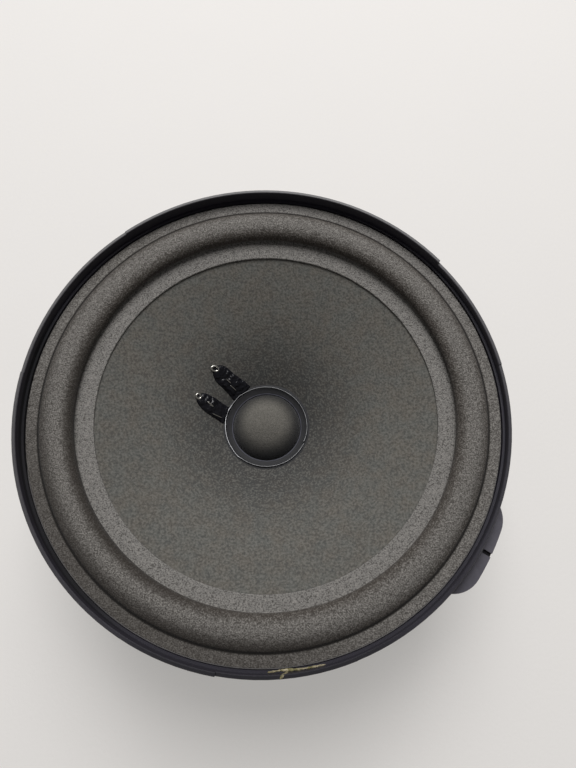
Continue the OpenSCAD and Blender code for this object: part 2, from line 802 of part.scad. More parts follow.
// Connector body: a socket open to the rear, a roof that holds the blades,
// a flange on the shelf and a snap hook under it at each end
module terminal_housing() {
    half = socket_w / 2;
    roof_z = shelf_z + shelf_t - socket_roof_t;
    hook = 2 * socket_gap + 0.4;
    color([0.1, 0.1, 0.1])
        rotate([0, 0, terminal_angle])
            difference() {
                union() {
                    translate([socket_r - socket_d / 2, -half, shelf_z - socket_len])
                        cube([socket_d, socket_w, socket_len + shelf_t]);
                    translate([socket_r - socket_d / 2 - socket_flange, -half - socket_flange,
                            shelf_z + shelf_t])
                        cube([socket_d + 2 * socket_flange, socket_w + 2 * socket_flange,
                            socket_flange_t]);
                    for (side = [0, 180])
                        translate([socket_r, 0, 0])
                            rotate([0, 0, side])
                                translate([-socket_d / 4, half - eps, 0])
                                    rotate([90, 0, 90])
                                        linear_extrude(socket_d / 2)
                                            polygon([[0, shelf_z - 2.5], [hook + eps, shelf_z],
                                                [0, shelf_z]]);
                }
                translate([socket_r - socket_d / 2 + socket_wall, -half + socket_wall,
                        shelf_z - socket_len - eps])
                    cube([socket_d - 2 * socket_wall, socket_w - 2 * socket_wall,
                        socket_len + eps + shelf_t - socket_roof_t]);
                for (side = [-1, 1])
                    translate([socket_r - blade_w / 2, side * blade_pitch / 2 - blade_t / 2, roof_z - eps])
                        cube([blade_w, blade_t, socket_roof_t + socket_flange_t + 2 * eps]);
            }
}

tab_z = shelf_z + shelf_t + socket_flange_t;
shoulder_h = 0.8;

// Flat blade through the roof, a shoulder on the flange and a solder tab turned across it
module blade(side) {
    roof_z = shelf_z + shelf_t - socket_roof_t;
    rotate([0, 0, terminal_angle])
        translate([socket_r, side * blade_pitch / 2, 0]) {
            translate([-blade_w / 2, -blade_t / 2, roof_z - blade_len])
                cube([blade_w, blade_t, tab_z + shoulder_h - roof_z + blade_len]);
            translate([-blade_w / 2, -tab_w / 2, tab_z]) cube([blade_w, tab_w, shoulder_h]);
            translate([-blade_t / 2, -tab_w / 2, tab_z]) cube([blade_t, tab_w, shoulder_h + tab_h]);
        }
}

module terminal_blade_1() {
    color([0.8, 0.78, 0.7]) blade(-1);
}

module terminal_blade_2() {
    color([0.8, 0.78, 0.7]) blade(1);
}

// Places its children on the cone's surface at an eyelet, with +Z square to the paper
module at_eyelet(k) {
    rotate([0, 0, eyelet_angle[k]])
        translate([eyelet_r[k], 0, cone_top(eyelet_r[k])])
            rotate([0, -cone_lean(eyelet_r[k]), 0])
                children();
}

// Tubular eyelet: a flange on each side of the paper
module eyelet(k) {
    lift = 0.08;
    low = -cone_t - lift;
    color([0.75, 0.73, 0.68])
        at_eyelet(k)
            rotate_extrude($fn = 48)
                polygon([
                    [eyelet_hole_r, low - eyelet_flange_t],
                    [eyelet_flange_r, low - eyelet_flange_t],
                    [eyelet_flange_r, low],
                    [eyelet_barrel_r, low],
                    [eyelet_barrel_r, lift],
                    [eyelet_flange_r, lift],
                    [eyelet_flange_r, lift + eyelet_flange_t / 2],
                    [eyelet_flange_r - eyelet_flange_t / 2, lift + eyelet_flange_t],
                    [eyelet_hole_r, lift + eyelet_flange_t]
                ]);
}

module lead_eyelet_1() {
    eyelet(0);
}

module lead_eyelet_2() {
    eyelet(1);
}

// A lead-out runs over the paper from the neck's adhesive to its eyelet's flange
function on_cone(p, lift) = [p.x, p.y, cone_top(norm(p)) + lift];
function root_xy(k) = polar(former_r + neck_glue_w + 2 * fit, lead_angle[k]);
function tip_xy(k) =
    let (e = polar(eyelet_r[k], eyelet_angle[k]), d = root_xy(k) - e)
    e + d / norm(d) * (eyelet_flange_r + 2 * fit);

module lead_bar(k, past) {
    lift = coil_lead_r + 0.25;
    a = on_cone(root_xy(k), lift);
    b = on_cone(tip_xy(k), lift);
    step = (b - a) / norm(b - a) * past;
    bar(a - step, b + step, coil_lead_r);
}

module coil_lead_1() {
    color([0.7, 0.45, 0.3]) lead_bar(0, 0);
}

module coil_lead_2() {
    color([0.7, 0.45, 0.3]) lead_bar(1, 0);
}

// Ridge of cement over a lead-out: a lens section on the paper that starts on a circle
// round the neck, bulges a little and narrows to the eyelet
module cement(k) {
    steps = 10;
    across = 8;
    root = root_xy(k);
    tip = tip_xy(k);
    side = [root.y - tip.y, tip.x - root.x] / norm(tip - root);
    function place(u, v) =
        (1 - u) * polar(norm(root), lead_angle[k] + v * cement_arc[k] / 2)
        + u * (tip + side * v * cement_tip_w[k])
        + side * v * 4 * cement_bulge * u * (1 - u);
    rings = [for (j = [0:steps])
        let (u = j / steps, high = cement_h * (1 - 0.35 * u * u))
        concat(
            [for (i = [0:across]) on_cone(place(u, 2 * i / across - 1), 0)],
            [for (i = [across - 1:-1:1])
                let (v = 2 * i / across - 1)
                on_cone(place(u, v), high * pow(1 - v * v, 0.6))])];
    color([0.05, 0.05, 0.06])
        difference() {
            skin(rings);
            lead_bar(k, 0.5);
        }
}

module lead_cement_1() {
    cement(0);
}

module lead_cement_2() {
    cement(1);
}

// Tinsel lead: a round cord on a cubic curve from under its eyelet to its solder tab
function bezier(p, t) =
    pow(1 - t, 3) * p[0] + 3 * t * pow(1 - t, 2) * p[1] + 3 * t * t * (1 - t) * p[2] + pow(t, 3) * p[3];

function tinsel_route(k, side) =
    let (r = eyelet_r[k], a = eyelet_angle[k], lean = cone_lean(eyelet_r[k]))
    let (down = [sin(lean) * cos(a), sin(lean) * sin(a), -cos(lean)])
    let (start = [r * cos(a), r * sin(a), cone_top(r)] + down * (cone_t + eyelet_flange_t + 0.08))
    let (out = [cos(terminal_angle), sin(terminal_angle), 0], across = [-out.y, out.x, 0])
    let (end = out * (socket_r - blade_t / 2 - fit) + across * side * blade_pitch / 2
        + [0, 0, tab_z + shoulder_h + tab_h / 2])
    [start, start + down * tinsel_drop, end - out * tinsel_reach, end];

module tinsel(k, side) {
    steps = 20;
    sides = 8;
    route = tinsel_route(k, side);
    across = [-sin(terminal_angle), cos(terminal_angle), 0];
    function slope(t) = bezier(route, min(1, t + 0.01)) - bezier(route, max(0, t - 0.01));
    rings = [for (j = [0:steps])
        let (t = j / steps, centre = bezier(route, t))
        let (along = j == steps ? route[3] - route[2] : slope(t))
        let (n = cross(along, across) / norm(cross(along, across)))
        let (b = cross(along, n) / norm(along))
        [for (i = [0:sides - 1])
            centre + tinsel_r * (n * cos(360 * i / sides) + b * sin(360 * i / sides))]];
    color([0.7, 0.5, 0.35]) skin(rings);
}

module tinsel_lead_1() {
    tinsel(0, -1);
}

module tinsel_lead_2() {
    tinsel(1, 1);
}

basket();
rear_gasket();
edge_glue();
surround();
cone();
neck_glue();
dust_cap();
cap_glue();
former();
voice_coil();
spider();
top_plate();
magnet();
back_plate();
pole_piece();
plate_rivets();
terminal_housing();
terminal_blade_1();
terminal_blade_2();
lead_eyelet_1();
lead_eyelet_2();
coil_lead_1();
coil_lead_2();
lead_cement_1();
lead_cement_2();
tinsel_lead_1();
tinsel_lead_2();
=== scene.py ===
"""Car door loudspeaker, 165 mm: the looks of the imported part.

Laid out as an add-on and run as a script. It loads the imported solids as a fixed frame,
builds the soft, glued and worn pieces over them, gives every surface its material, and
sets a plain stage with the camera above the speaker. All lengths are metres. The origin
is the centre of the motor's back face and +Z points out of the cone's mouth.
"""

import math
from collections import namedtuple

import bpy
import numpy as np
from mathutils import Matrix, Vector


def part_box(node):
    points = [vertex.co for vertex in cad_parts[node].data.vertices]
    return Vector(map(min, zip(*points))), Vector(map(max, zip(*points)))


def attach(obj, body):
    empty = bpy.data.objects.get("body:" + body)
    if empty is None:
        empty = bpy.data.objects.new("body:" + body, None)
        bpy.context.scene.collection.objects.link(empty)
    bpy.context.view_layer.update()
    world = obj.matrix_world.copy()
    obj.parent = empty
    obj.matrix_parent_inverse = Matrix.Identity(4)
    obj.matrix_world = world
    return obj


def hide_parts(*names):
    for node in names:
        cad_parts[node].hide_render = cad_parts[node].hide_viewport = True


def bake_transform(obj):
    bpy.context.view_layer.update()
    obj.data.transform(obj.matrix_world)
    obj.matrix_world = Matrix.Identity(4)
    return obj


bl_info = {
    "name": "Car Door Loudspeaker",
    "version": (1, 0, 0),
    "blender": (4, 5, 0),
    "location": "View3D > Sidebar > Speaker",
    "description": "Builds the soft, glued and worn pieces of a 165 mm loudspeaker",
    "category": "Object",
}

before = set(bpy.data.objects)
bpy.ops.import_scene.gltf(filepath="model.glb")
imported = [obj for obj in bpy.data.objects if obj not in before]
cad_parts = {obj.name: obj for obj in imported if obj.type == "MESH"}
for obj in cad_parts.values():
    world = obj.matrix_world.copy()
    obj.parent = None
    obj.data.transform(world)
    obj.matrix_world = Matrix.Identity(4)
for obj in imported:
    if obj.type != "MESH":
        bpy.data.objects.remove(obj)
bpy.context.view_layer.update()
FIXED = "basket"
MOVING = "cone_assembly"
FULL_TURN = 2 * math.pi
UP = np.array([0.0, 0.0, 1.0])

# The vertex attribute with each point's place at rest, which the finish of a bending piece reads.
REST_PLACE = "rest_place"

# How finely rings are divided: the foam roll's step along its section, and the sections round
# the axis of the large foam rings and of the smaller rings.
SECTION_STEP = 0.00032
FINE_TURNS = 480
TURNS = 300

# The ear's slot: a flat direction across it, and how far its middle line is along that.
SLOT_ACROSS = (0.5075, 0.8616)
SLOT_MIDDLE = -0.00411

# The way up and to the right, away from the lower-left side that painted shade darkens.
UPPER_RIGHT = (0.57, 0.82)

# The photograph's view, fitted to the edges in it: its height and focal length in pixels, the
# camera's place in metres, and its turns about X and Y in degrees.
PHOTO_HEIGHT = 768
PHOTO_FOCAL = 562.2
CAMERA_PLACE = (0.00499, -0.04633, 0.24967)
CAMERA_TURNS = (16.53, -0.87)


def lowest(node):
    """Lowest corner of a CAD node."""
    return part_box(node)[0]


def highest(node):
    """Highest corner of a CAD node."""
    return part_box(node)[1]


# Settings


def length(name, description, default):
    """A length in metres, shown with its unit."""
    return bpy.props.FloatProperty(
        name=name, description=description, default=default, unit="LENGTH", precision=5
    )


def angle(name, description, degrees):
    """An angle, stored in radians."""
    return bpy.props.FloatProperty(
        name=name, description=description, default=math.radians(degrees), subtype="ANGLE"
    )


def colour(name, description, default):
    """A linear colour."""
    return bpy.props.FloatVectorProperty(
        name=name, description=description, default=default, subtype="COLOR", size=3,
        min=0.0, max=1.0,
    )


class SpeakerFrontSizes(bpy.types.PropertyGroup):
    """Sizes of the surround, the cone and the dome."""

    foam_radius: length("Surround radius", "Outer edge of the foam surround",
                        highest("surround").x + 0.0002)
    seat_height: length("Seat height", "Top of the seat that the surround is glued to", 0.0635)
    foam_thickness: length("Flange thickness", "Thickness of the pressed foam flanges", 0.0008)
    roll_outer: length("Roll outer radius", "Where the half roll meets the outer flange", 0.076)
    roll_inner: length("Roll inner radius", "Where the half roll meets the inner flange", 0.0657)
    roll_height: length("Roll height", "Height of the half roll", 0.0049)
    roll_lean: length("Roll lean", "How far the roll's crown leans towards the cone", 0.003)
    roll_thickness: length("Roll thickness", "Thickness of the foam in the roll", 0.00115)
    crease_softness: length("Crease softness", "Rounding of the creases beside the roll", 0.00012)
    cone_radius: length("Cone radius", "Where the cone meets the surround", 0.0593)
    cone_edge: length("Cone edge height", "Height of the cone under the surround", 0.0598)
    cone_lip_radius: length("Cone lip radius", "Outer edge of the paper", highest("cone").x)
    cone_lip_rise: length("Cone lip rise", "Rise of the paper's flat edge", 0.00075)
    cone_shift: bpy.props.FloatVectorProperty(
        name="Cone shift", description="How far off centre the cone's edge was glued",
        default=(0.00050, -0.00032), size=2, subtype="XYZ", unit="LENGTH", precision=5,
    )
    crease_shift: bpy.props.FloatVectorProperty(
        name="Crease shift", description="How far off centre the roll's inner crease is",
        default=(0.00036, 0.00034), size=2, subtype="XYZ", unit="LENGTH", precision=5,
    )
    cone_flare: length("Cone flare", "Bulge of the cone over a straight one", 0.0012)
    paper: length("Paper thickness", "Thickness of the cone", 0.00045)
    neck_radius: length("Neck radius", "Outer radius of the voice-coil former", 0.0158)
    neck_height: length("Neck height", "Height of the cone at the former", 0.0352)
    neck_glue: length("Neck adhesive width", "Width of the adhesive ring round the neck", 0.001)
    ring_height: length("Ring height", "Top edge of the former", highest("former").z)
    former_foot: length("Former foot", "Lower edge of the former", lowest("former").z)
    former_wall: length("Former wall", "Thickness of the former's foil", 0.00035)
    former_edge: length("Former edge", "Thickness of the foil's drawn top edge", 0.00018)
    slit_angle: angle("Slit angle", "Where the foil's two ends meet", 336)
    dome_radius: length("Dome radius", "Radius of the felt dome", 0.013)
    dome_edge: length("Dome edge height", "Height of the dome's edge", 0.0341)
    dome_height: length("Dome height", "Height of the dome over its edge", 0.0068)
    felt: length("Felt thickness", "Thickness of the dust cap", 0.0005)


class SpeakerGlueSizes(bpy.types.PropertyGroup):
    """Sizes of the lead-outs, the cements and the glue marks."""

    eyelet_1_radius: length("Eyelet 1 radius", "Distance of the first from the axis", 0.0288)
    eyelet_1_angle: angle("Eyelet 1 angle", "Angle of the first eyelet", 133.9)
    eyelet_2_radius: length("Eyelet 2 radius", "Distance of the second from the axis", 0.0277)
    eyelet_2_angle: angle("Eyelet 2 angle", "Angle of the second eyelet", 159)
    root_1_angle: angle("Lead 1 root", "Where the first lead-out leaves the neck", 127)
    root_1_arc: angle("Cement 1 arc", "Arc of the first cement ridge at the neck", 30)
    root_2_angle: angle("Lead 2 root", "Where the second lead-out leaves the neck", 165)
    root_2_arc: angle("Cement 2 arc", "Arc of the second cement ridge at the neck", 27)
    cement_height: length("Cement height", "Height of the cement ridges", 0.0015)
    eyelet_lip: length("Eyelet lip", "Radius of an eyelet's rolled edge", 0.00033)
    bead_start: angle("Bead start", "Where the bead at the surround's edge starts", 195)
    bead_arc: angle("Bead arc", "How far the bead runs", 145)
    smear_start: angle("Smear start", "Where the dried glue on the rim starts", 271.2)
    smear_end: angle("Smear end", "Where the dried glue on the rim ends", 283.6)
    ledge_height: length("Ledge height", "Top of the ledge that the dried glue lies on", 0.065)


class SpeakerRearSizes(bpy.types.PropertyGroup):
    """Sizes of the spider, the rear gasket and the tinsel leads."""

    spider_radius: length("Spider radius", "Outer edge of the spider", highest("spider").x)
    landing_height: length("Landing height", "Top of the landing under the spider", 0.032)
    spider_flat: length("Spider flat", "Flat ring between the collar and the waves", 0.003)
    spider_waves_end: length("Waves end", "Radius where the waves end", 0.0436)
    spider_wave: length("Wave height", "Height of a wave over and under the middle", 0.0011)
    spider_waves: bpy.props.IntProperty(
        name="Waves", description="Number of waves of the spider", default=5, min=2, max=8
    )
    cloth: length("Cloth thickness", "Thickness of the spider's cloth", 0.0005)
    gasket_inner: length("Gasket inner radius", "Inner edge of the foam ring behind the rim", 0.076)
    gasket_outer: length("Gasket outer radius", "Outer edge of that ring", highest("rear_gasket").x)
    tinsel_radius: length("Tinsel radius", "Radius of a tinsel lead", 0.0006)
    tinsel_drop: length("Tinsel drop", "How far a lead drops before it turns out", 0.009)
    tinsel_reach: length("Tinsel reach", "How far it runs straight to its tab", 0.015)
    terminal_angle: angle("Terminal angle", "Angle of the connector", 146)
    terminal_radius: length("Terminal radius", "Distance of the solder tabs from the axis", 0.05655)
    terminal_pitch: length("Terminal pitch", "Distance between the two tabs", 0.0084)
    terminal_height: length("Terminal height", "Height where the leads meet the tabs", 0.0469)


class SpeakerColours(bpy.types.PropertyGroup):
    """Colours of the finishes."""

    plastic: colour("Basket plastic", "Black glass-filled moulding", (0.0190, 0.0170, 0.0262))
    # Rubbed grey of the ear and the lip's top; on the lip it also serves as a painted highlight.
    plastic_worn_and_highlight: colour("Worn plastic", "The moulding where it is rubbed", (0.133, 0.127, 0.127))
    foam: colour("Surround foam", "Grey open-cell foam", (0.165, 0.1545, 0.1425))
    # Browned foam of the roll's slopes, also used darker as painted shade in the creases and in the
    # roll's shadow.
    foam_aged_and_shade: colour("Aged foam", "The foam where it has browned", (0.060, 0.049, 0.040))
    foam_speck: colour("Foam specks", "Pale cell walls of the foam", (0.33, 0.311, 0.288))
    paper: colour("Cone paper", "Dark grey pressed paper", (0.134, 0.130, 0.118))
    # Dark paper of the grain, also used as painted shade towards the neck and on the lower-left
    # side.
    paper_dark: colour("Dark paper", "The paper where it is denser", (0.032, 0.0325, 0.034))
    felt: colour("Cap felt", "Taupe-grey felt", (0.156, 0.147, 0.130))
    # Felt with adhesive in it, also used as painted shade on the dome's lower side.
    felt_soaked_and_shade: colour("Soaked felt", "Felt with adhesive in it", (0.0145, 0.0145, 0.0160))
    cement: colour("Cement", "Black rubber cement", (0.006, 0.006, 0.008))
    bead: colour("Edge bead", "Dull grey adhesive", (0.10, 0.093, 0.092))
    smear: colour("Dried glue", "Yellowed contact adhesive", (0.425, 0.370, 0.245))
    foil: colour("Former foil", "Dulled aluminium foil", (0.40, 0.40, 0.41))
    tin: colour("Tinned brass", "Tinned eyelets and blades", (0.70, 0.68, 0.63))
    copper: colour("Enamelled copper", "Winding and lead-outs", (0.55, 0.20, 0.07))
    spider: colour("Spider cloth", "Resin-stiffened cotton", (0.42, 0.27, 0.09))
    plating: colour("Zinc plating", "Plated mild steel", (0.47, 0.46, 0.43))
    handled: colour("Handling marks", "Dark marks on the plating", (0.16, 0.14, 0.11))
    ferrite: colour("Ferrite", "Sintered ferrite", (0.045, 0.044, 0.045))
    gasket: colour("Gasket foam", "Black closed-cell foam", (0.018, 0.018, 0.019))
    floor: colour("Floor", "Pale painted board", (0.560, 0.540, 0.525))
    floor_glow: colour("Floor glow", "What the board adds where it is seen", (0.335, 0.327, 0.316))


# Shading


class Wire:
    """One output of a finish's nodes. Arithmetic on it adds Math nodes."""

    def __init__(self, finish, socket):
        self.finish = finish
        self.socket = socket

    def _math(self, operation, *values):
        return self.finish.node("Math", {"operation": operation}, dict(enumerate(values)))

    def __add__(self, other):
        return self._math("ADD", self, other)

    __radd__ = __add__

    def __sub__(self, other):
        return self._math("SUBTRACT", self, other)

    def __rsub__(self, other):
        return self._math("SUBTRACT", other, self)

    def __mul__(self, other):
        return self._math("MULTIPLY", self, other)

    __rmul__ = __mul__

    def __truediv__(self, other):
        return self._math("DIVIDE", self, other)

    def __pow__(self, power):
        return self._math("POWER", self, power)

    def sine(self):
        """Sine of the value."""
        return self._math("SINE", self)

    def bearing(self, x):
        """Angle of the point (x, this value) round the origin."""
        return self._math("ARCTAN2", self, x)

    def distance(self, value):
        """How far the value is from another one."""
        return self._math("ABSOLUTE", self - value)

    def ramp(self, start, end):
        """Smooth step from 0 at start to 1 at end, or the other way round."""
        rising = end > start
        settings = {"interpolation_type": "SMOOTHSTEP"}
        stops = {1: min(start, end), 2: max(start, end), 3: float(not rising), 4: float(rising)}
        return self.finish.node("MapRange", settings, {0: self, **stops})


class Finish:
    """A material, and the one method that adds nodes to it. On a piece that bends it reads
    each point's place at rest, so that the pattern stays on the surface."""

    def __init__(self, name, bends=False):
        self.material = bpy.data.materials.new(name)
        self.material.use_nodes = True
        self.tree = self.material.node_tree
        self.tree.nodes.clear()
        if bends:
            self.place = self.node("Attribute", {"attribute_name": REST_PLACE}, output="Vector")
        else:
            self.place = self.node("TexCoord", output="Object")
        parts = self.node("SeparateXYZ", None, {0: self.place})
        self.x, self.y, self.z = (Wire(self, s) for s in parts.socket.node.outputs)
        self.radius = self.radius_from((0.0, 0.0))

    def radius_from(self, centre):
        """Distance from an upright axis through a point (x, y)."""
        x, y = self.x - centre[0], self.y - centre[1]
        return (x * x + y * y) ** 0.5

    def along(self, x, y):
        """Distance from the axis along the flat direction (x, y)."""
        return self.x * x + self.y * y

    def facing(self, x, y):
        """From 1 on the side that the flat direction (x, y) points to, to -1 on the other."""
        return self.along(x, y) / self.radius

    def node(self, kind, settings=None, inputs=None, output=0):
        """Adds a node: its settings first, then each input, linked from a Wire or set."""
        node = self.tree.nodes.new("ShaderNode" + kind)
        for key, value in (settings or {}).items():
            setattr(node, key, value)
        for key, value in (inputs or {}).items():
            if isinstance(value, Wire):
                self.tree.links.new(value.socket, node.inputs[key])
            else:
                node.inputs[key].default_value = value
        return Wire(self, node.outputs[output]) if len(node.outputs) else None

    def noise(self, size, detail=2.0, roughness=0.5, distortion=0.0, stretch=(1, 1, 1), at=None):
        """Noise from 0 to 1 whose features are about as large as size, in metres."""
        place = self.place if at is None else at
        if stretch != (1, 1, 1):
            place = self.node("Mapping", None, {0: place, 3: stretch})
        inputs = {"Vector": place, "Scale": 1.0 / size, "Detail": detail,
                  "Roughness": roughness, "Distortion": distortion}
        return self.node("TexNoise", None, inputs, "Fac")

    def cells(self, size):
        """Distance to the nearest of random points that are about size apart."""
        inputs = {"Vector": self.place, "Scale": 1.0 / size}
        return self.node("TexVoronoi", None, inputs, "Distance")

    def mix(self, a, b, share):
        """Colour between a at share 0 and b at share 1."""
        return self.node("Mix", {"data_type": "RGBA"}, {0: share, 6: solid(a), 7: solid(b)}, 2)

    def bump(self, height, depth, strength=1.0):
        """Normal of a relief whose height runs from 0 to 1 over depth metres."""
        inputs = {"Height": height, "Distance": depth, "Strength": strength}
        return self.node("Bump", None, inputs)

    def surface(self, **sockets):
        """Sends the physically based shader with these sockets to the material's output."""
        inputs = {key.replace("_", " "): value for key, value in sockets.items()}
        shader = self.node("BsdfPrincipled", None, inputs)
        self.node("OutputMaterial", None, {0: shader})
        return self.material


def solid(value):
    """A colour with its alpha, or the Wire as it is."""
    return value if isinstance(value, Wire) else (*value, 1.0)


def tone(base, factor):
    """A colour made lighter or darker by a factor."""
    return scaled(base, (factor,) * 3)


def scaled(base, factors):
    """A colour with each channel multiplied by its own factor."""
    return tuple(min(1.0, channel * factor) for channel, factor in zip(base, factors))


# Finishes


def basket_plastic(tint, worn):
    """Satin black moulding: fine grain, flow marks and a little dust. The ear is rubbed grey. The
    lip's top is rubbed grey too, with a painted highlight that lightens it towards the upper left,
    and painted shade darkens its near side. Painted shade also darkens the ear's slot and the
    corner beside the ledge on the left."""
    f = Finish("basket_plastic")
    grain = f.noise(0.00022, 3, 0.6)
    flow = f.noise(0.011, 3, 0.55, 0.6)
    rubbed = f.noise(0.0021, 4, 0.65)
    dust = f.noise(0.0006, 2, 0.7).ramp(0.60, 0.78)
    lip = f.z.ramp(0.0670, 0.0673) * f.radius.ramp(0.08125, 0.08140)
    ear = f.z.ramp(0.06205, 0.06215) * f.radius.ramp(0.08255, 0.08275)
    # Painted highlight: strongest on the lip's upper-left side, gone on its near side.
    upper = f.facing(-0.37, 0.93).ramp(-1.05, 1.05)
    # Painted shade: the inside of the ear's slot and the corner beside the ledge on the left are
    # darkened.
    across = f.along(*SLOT_ACROSS).distance(SLOT_MIDDLE)
    slot = across.ramp(0.00078, 0.00062) * f.radius.ramp(0.0838, 0.0842)
    left = f.along(0.95, 0.30).ramp(-0.055, -0.072)
    corner = left * f.radius.ramp(0.0800, 0.0804) * f.radius.ramp(0.08140, 0.08128)
    painted_shade_in_recesses = slot * f.z.ramp(0.06212, 0.0619) + corner * f.z.ramp(0.0672, 0.0664)
    # Painted shade on the near side of the lip's top.
    lip_painted_shade = lip * f.facing(0, 1).ramp(-0.82, -0.94)
    base = f.mix(tone(tint, 0.85), tone(tint, 1.25), flow)
    # The lip's top takes the rubbed grey as real wear and, through upper, as a painted highlight.
    base = f.mix(base, worn, lip * upper * (0.45 + 0.5 * rubbed) + dust * 0.04)
    base = f.mix(base, scaled(worn, (0.97, 0.96, 1.16)), ear * (0.48 + 0.5 * rubbed))
    base = f.mix(base, tone(tint, 0.2), painted_shade_in_recesses * 0.9 + lip_painted_shade * 0.6)
    rough = 0.36 + 0.14 * flow + 0.10 * rubbed + 0.35 * painted_shade_in_recesses
    relief = grain * 0.7 + rubbed * 0.3
    return f.surface(Base_Color=base, Roughness=rough, Normal=f.bump(relief, 0.00004, 0.6))


def surround_foam(tint, aged_and_shade, speck, shift):
    """Open-cell foam: pale and dark grains half a millimetre apart. It keeps its own grey on the
    flanges and on the roll's crown. Down the roll's slopes it turns darker and browner, partly
    browning with age and partly painted shade. Painted shade blackens its outer crease and
    darkens the roll towards its inner crease on the left, painted light lightens the outer
    flange towards the top, and a painted shadow of the roll darkens the outer slope and flange
    on the lower-left side."""
    f = Finish("surround_foam", bends=True)
    grains = f.noise(0.00046, 2, 0.6).ramp(0.32, 0.68)
    clumps = f.noise(0.0011, 2, 0.6).ramp(0.30, 0.70)
    drift = f.noise(0.016, 3, 0.55)
    inner = f.radius_from(shift)
    crown = inner.ramp(0.0646, 0.0690) * f.radius.ramp(0.0762, 0.0715)
    inner_flange = inner.ramp(0.0661, 0.0652) * f.z.ramp(0.0624, 0.0617)
    outer_flange = f.radius.ramp(0.0761, 0.0764)
    # Painted shade: a dark line along the roll's outer crease.
    crease = f.radius.distance(0.07595).ramp(0.0008, 0.00015)
    # Painted shadow of the roll over the outer slope and flange on the lower-left side.
    painted_roll_shadow = f.along(*UPPER_RIGHT).ramp(-0.02, -0.07) * f.radius.ramp(0.0695, 0.0735)
    # Painted shade towards the roll's inner crease on the left side.
    left = f.along(0.90, 0.42).ramp(-0.025, -0.060)
    painted_inner_crease_shade = left * inner.ramp(0.0692, 0.0652)
    flange = inner_flange + outer_flange
    # Away from the crown and flanges the roll turns towards the browned colour: partly browning
    # with age, partly painted shade down the slopes.
    clean_and_unshaded = crown * (1 - flange) + flange
    base = f.mix(aged_and_shade, tint, clean_and_unshaded * (0.86 + 0.28 * drift))
    base = f.mix(base, scaled(tint, (1.37, 1.40, 1.43)), inner_flange)
    # Painted light: the outer flange is made lighter towards the top.
    upper = f.y.bearing(f.x).distance(math.radians(68)).ramp(1.1, 0.3)
    base = f.mix(base, scaled(tint, (1.34, 1.36, 1.40)), outer_flange * upper)
    grain = grains * 0.75 + clumps * 0.25
    base = f.mix(base, speck, (0.28 + 0.42 * clean_and_unshaded) * grain.ramp(0.52, 0.92))
    base = f.mix(base, tone(aged_and_shade, 0.5), 0.66 * grain.ramp(0.48, 0.08))
    base = f.mix(base, tone(aged_and_shade, 0.6), painted_roll_shadow * (0.40 + 0.25 * drift))
    base = f.mix(base, tone(aged_and_shade, 0.4), 0.72 * painted_inner_crease_shade * (1 - inner_flange))
    base = f.mix(base, tone(aged_and_shade, 0.15), 0.92 * crease)
    relief = grains * 0.6 + clumps * 0.4
    return f.surface(Base_Color=base, Roughness=0.92, Specular_IOR_Level=0.25,
                     Sheen_Weight=0.08, Sheen_Roughness=0.6, Normal=f.bump(relief, 0.00020, 0.8))


def cone_paper(tint, dark):
    """Pressed paper: short fibres that lie every way, brown and green-grey pulp in grains of
    half a millimetre, and soft clouds. Painted shade makes it darker and bluer towards the
    neck, deep in the bowl, and a little darker on the lower-left side."""
    f = Finish("cone_paper")
    along = f.noise(0.0011, 4, 0.7, 0.4, (1.0, 0.22, 1.0))
    across = f.noise(0.0011, 4, 0.7, 0.4, (0.22, 1.0, 1.0))
    pulp = f.noise(0.00078, 2, 0.6).ramp(0.30, 0.70)
    clouds = f.noise(0.0065, 4, 0.6).ramp(0.30, 0.70)
    # Painted shade: darker and bluer towards the neck, deep in the bowl.
    neck = f.radius.ramp(0.044, 0.016)
    # Painted shade: a little darker on the lower-left side.
    lower = f.along(*UPPER_RIGHT).ramp(0.03, -0.05)
    fibres = (along + across) * 0.5
    grain = pulp * 0.7 + fibres * 0.6
    base = f.mix(scaled(tint, (1.05, 0.99, 0.94)), scaled(tint, (0.97, 1.00, 1.01)), clouds)
    base = f.mix(base, dark, 0.62 * neck + 0.11 * lower)
    base = f.mix(base, tone(dark, 1.1), 0.42 * grain.ramp(0.62, 0.30))
    base = f.mix(base, tone(tint, 1.75), 0.34 * grain.ramp(0.66, 0.95))
    relief = fibres * 0.5 + pulp * 0.5
    return f.surface(Base_Color=base, Roughness=0.88, Specular_IOR_Level=0.3,
                     Normal=f.bump(relief, 0.00012, 0.7))


def cap_felt(tint, soaked_and_shade):
    """Felt: a fine crossed weave under loose nap, dark towards its edge where adhesive has gone
    into it, and a little darker on its lower side as painted shade."""
    f = Finish("cap_felt")
    nap = f.noise(0.00050, 3, 0.7, 0.5).ramp(0.28, 0.72)
    weave = (f.x * 9000).sine() * (f.y * 9000).sine() * 0.5 + 0.5
    patch = f.noise(0.004, 2)
    base = f.mix(tone(tint, 0.56), tone(tint, 1.40), nap * 0.66 + weave * 0.10 + patch * 0.24)
    wet = f.radius_from((-0.0003, 0.0006)) + (patch - 0.5) * 0.0012
    base = f.mix(base, soaked_and_shade, wet.ramp(0.0060, 0.0132))
    # Painted shade on the dome's lower side.
    base = f.mix(base, soaked_and_shade, 0.30 * f.y.ramp(0.003, -0.010))
    return f.surface(Base_Color=base, Roughness=0.95, Specular_IOR_Level=0.2, Sheen_Weight=0.15,
                     Sheen_Roughness=0.5, Normal=f.bump(nap * 0.7 + weave * 0.3, 0.00016, 0.8))


def glossy_cement(tint):
    """Black rubber cement that set in wet lumps with a few bright glints."""
    f = Finish("black_cement")
    lumps = f.noise(0.0018, 1.5, 0.4)
    skin = f.noise(0.00035, 2)
    relief = lumps * 0.96 + skin * 0.04
    return f.surface(Base_Color=f.mix(tint, tone(tint, 2.0), skin), Specular_IOR_Level=0.28,
                     Roughness=0.12 + 0.20 * lumps, Normal=f.bump(relief, 0.0012))


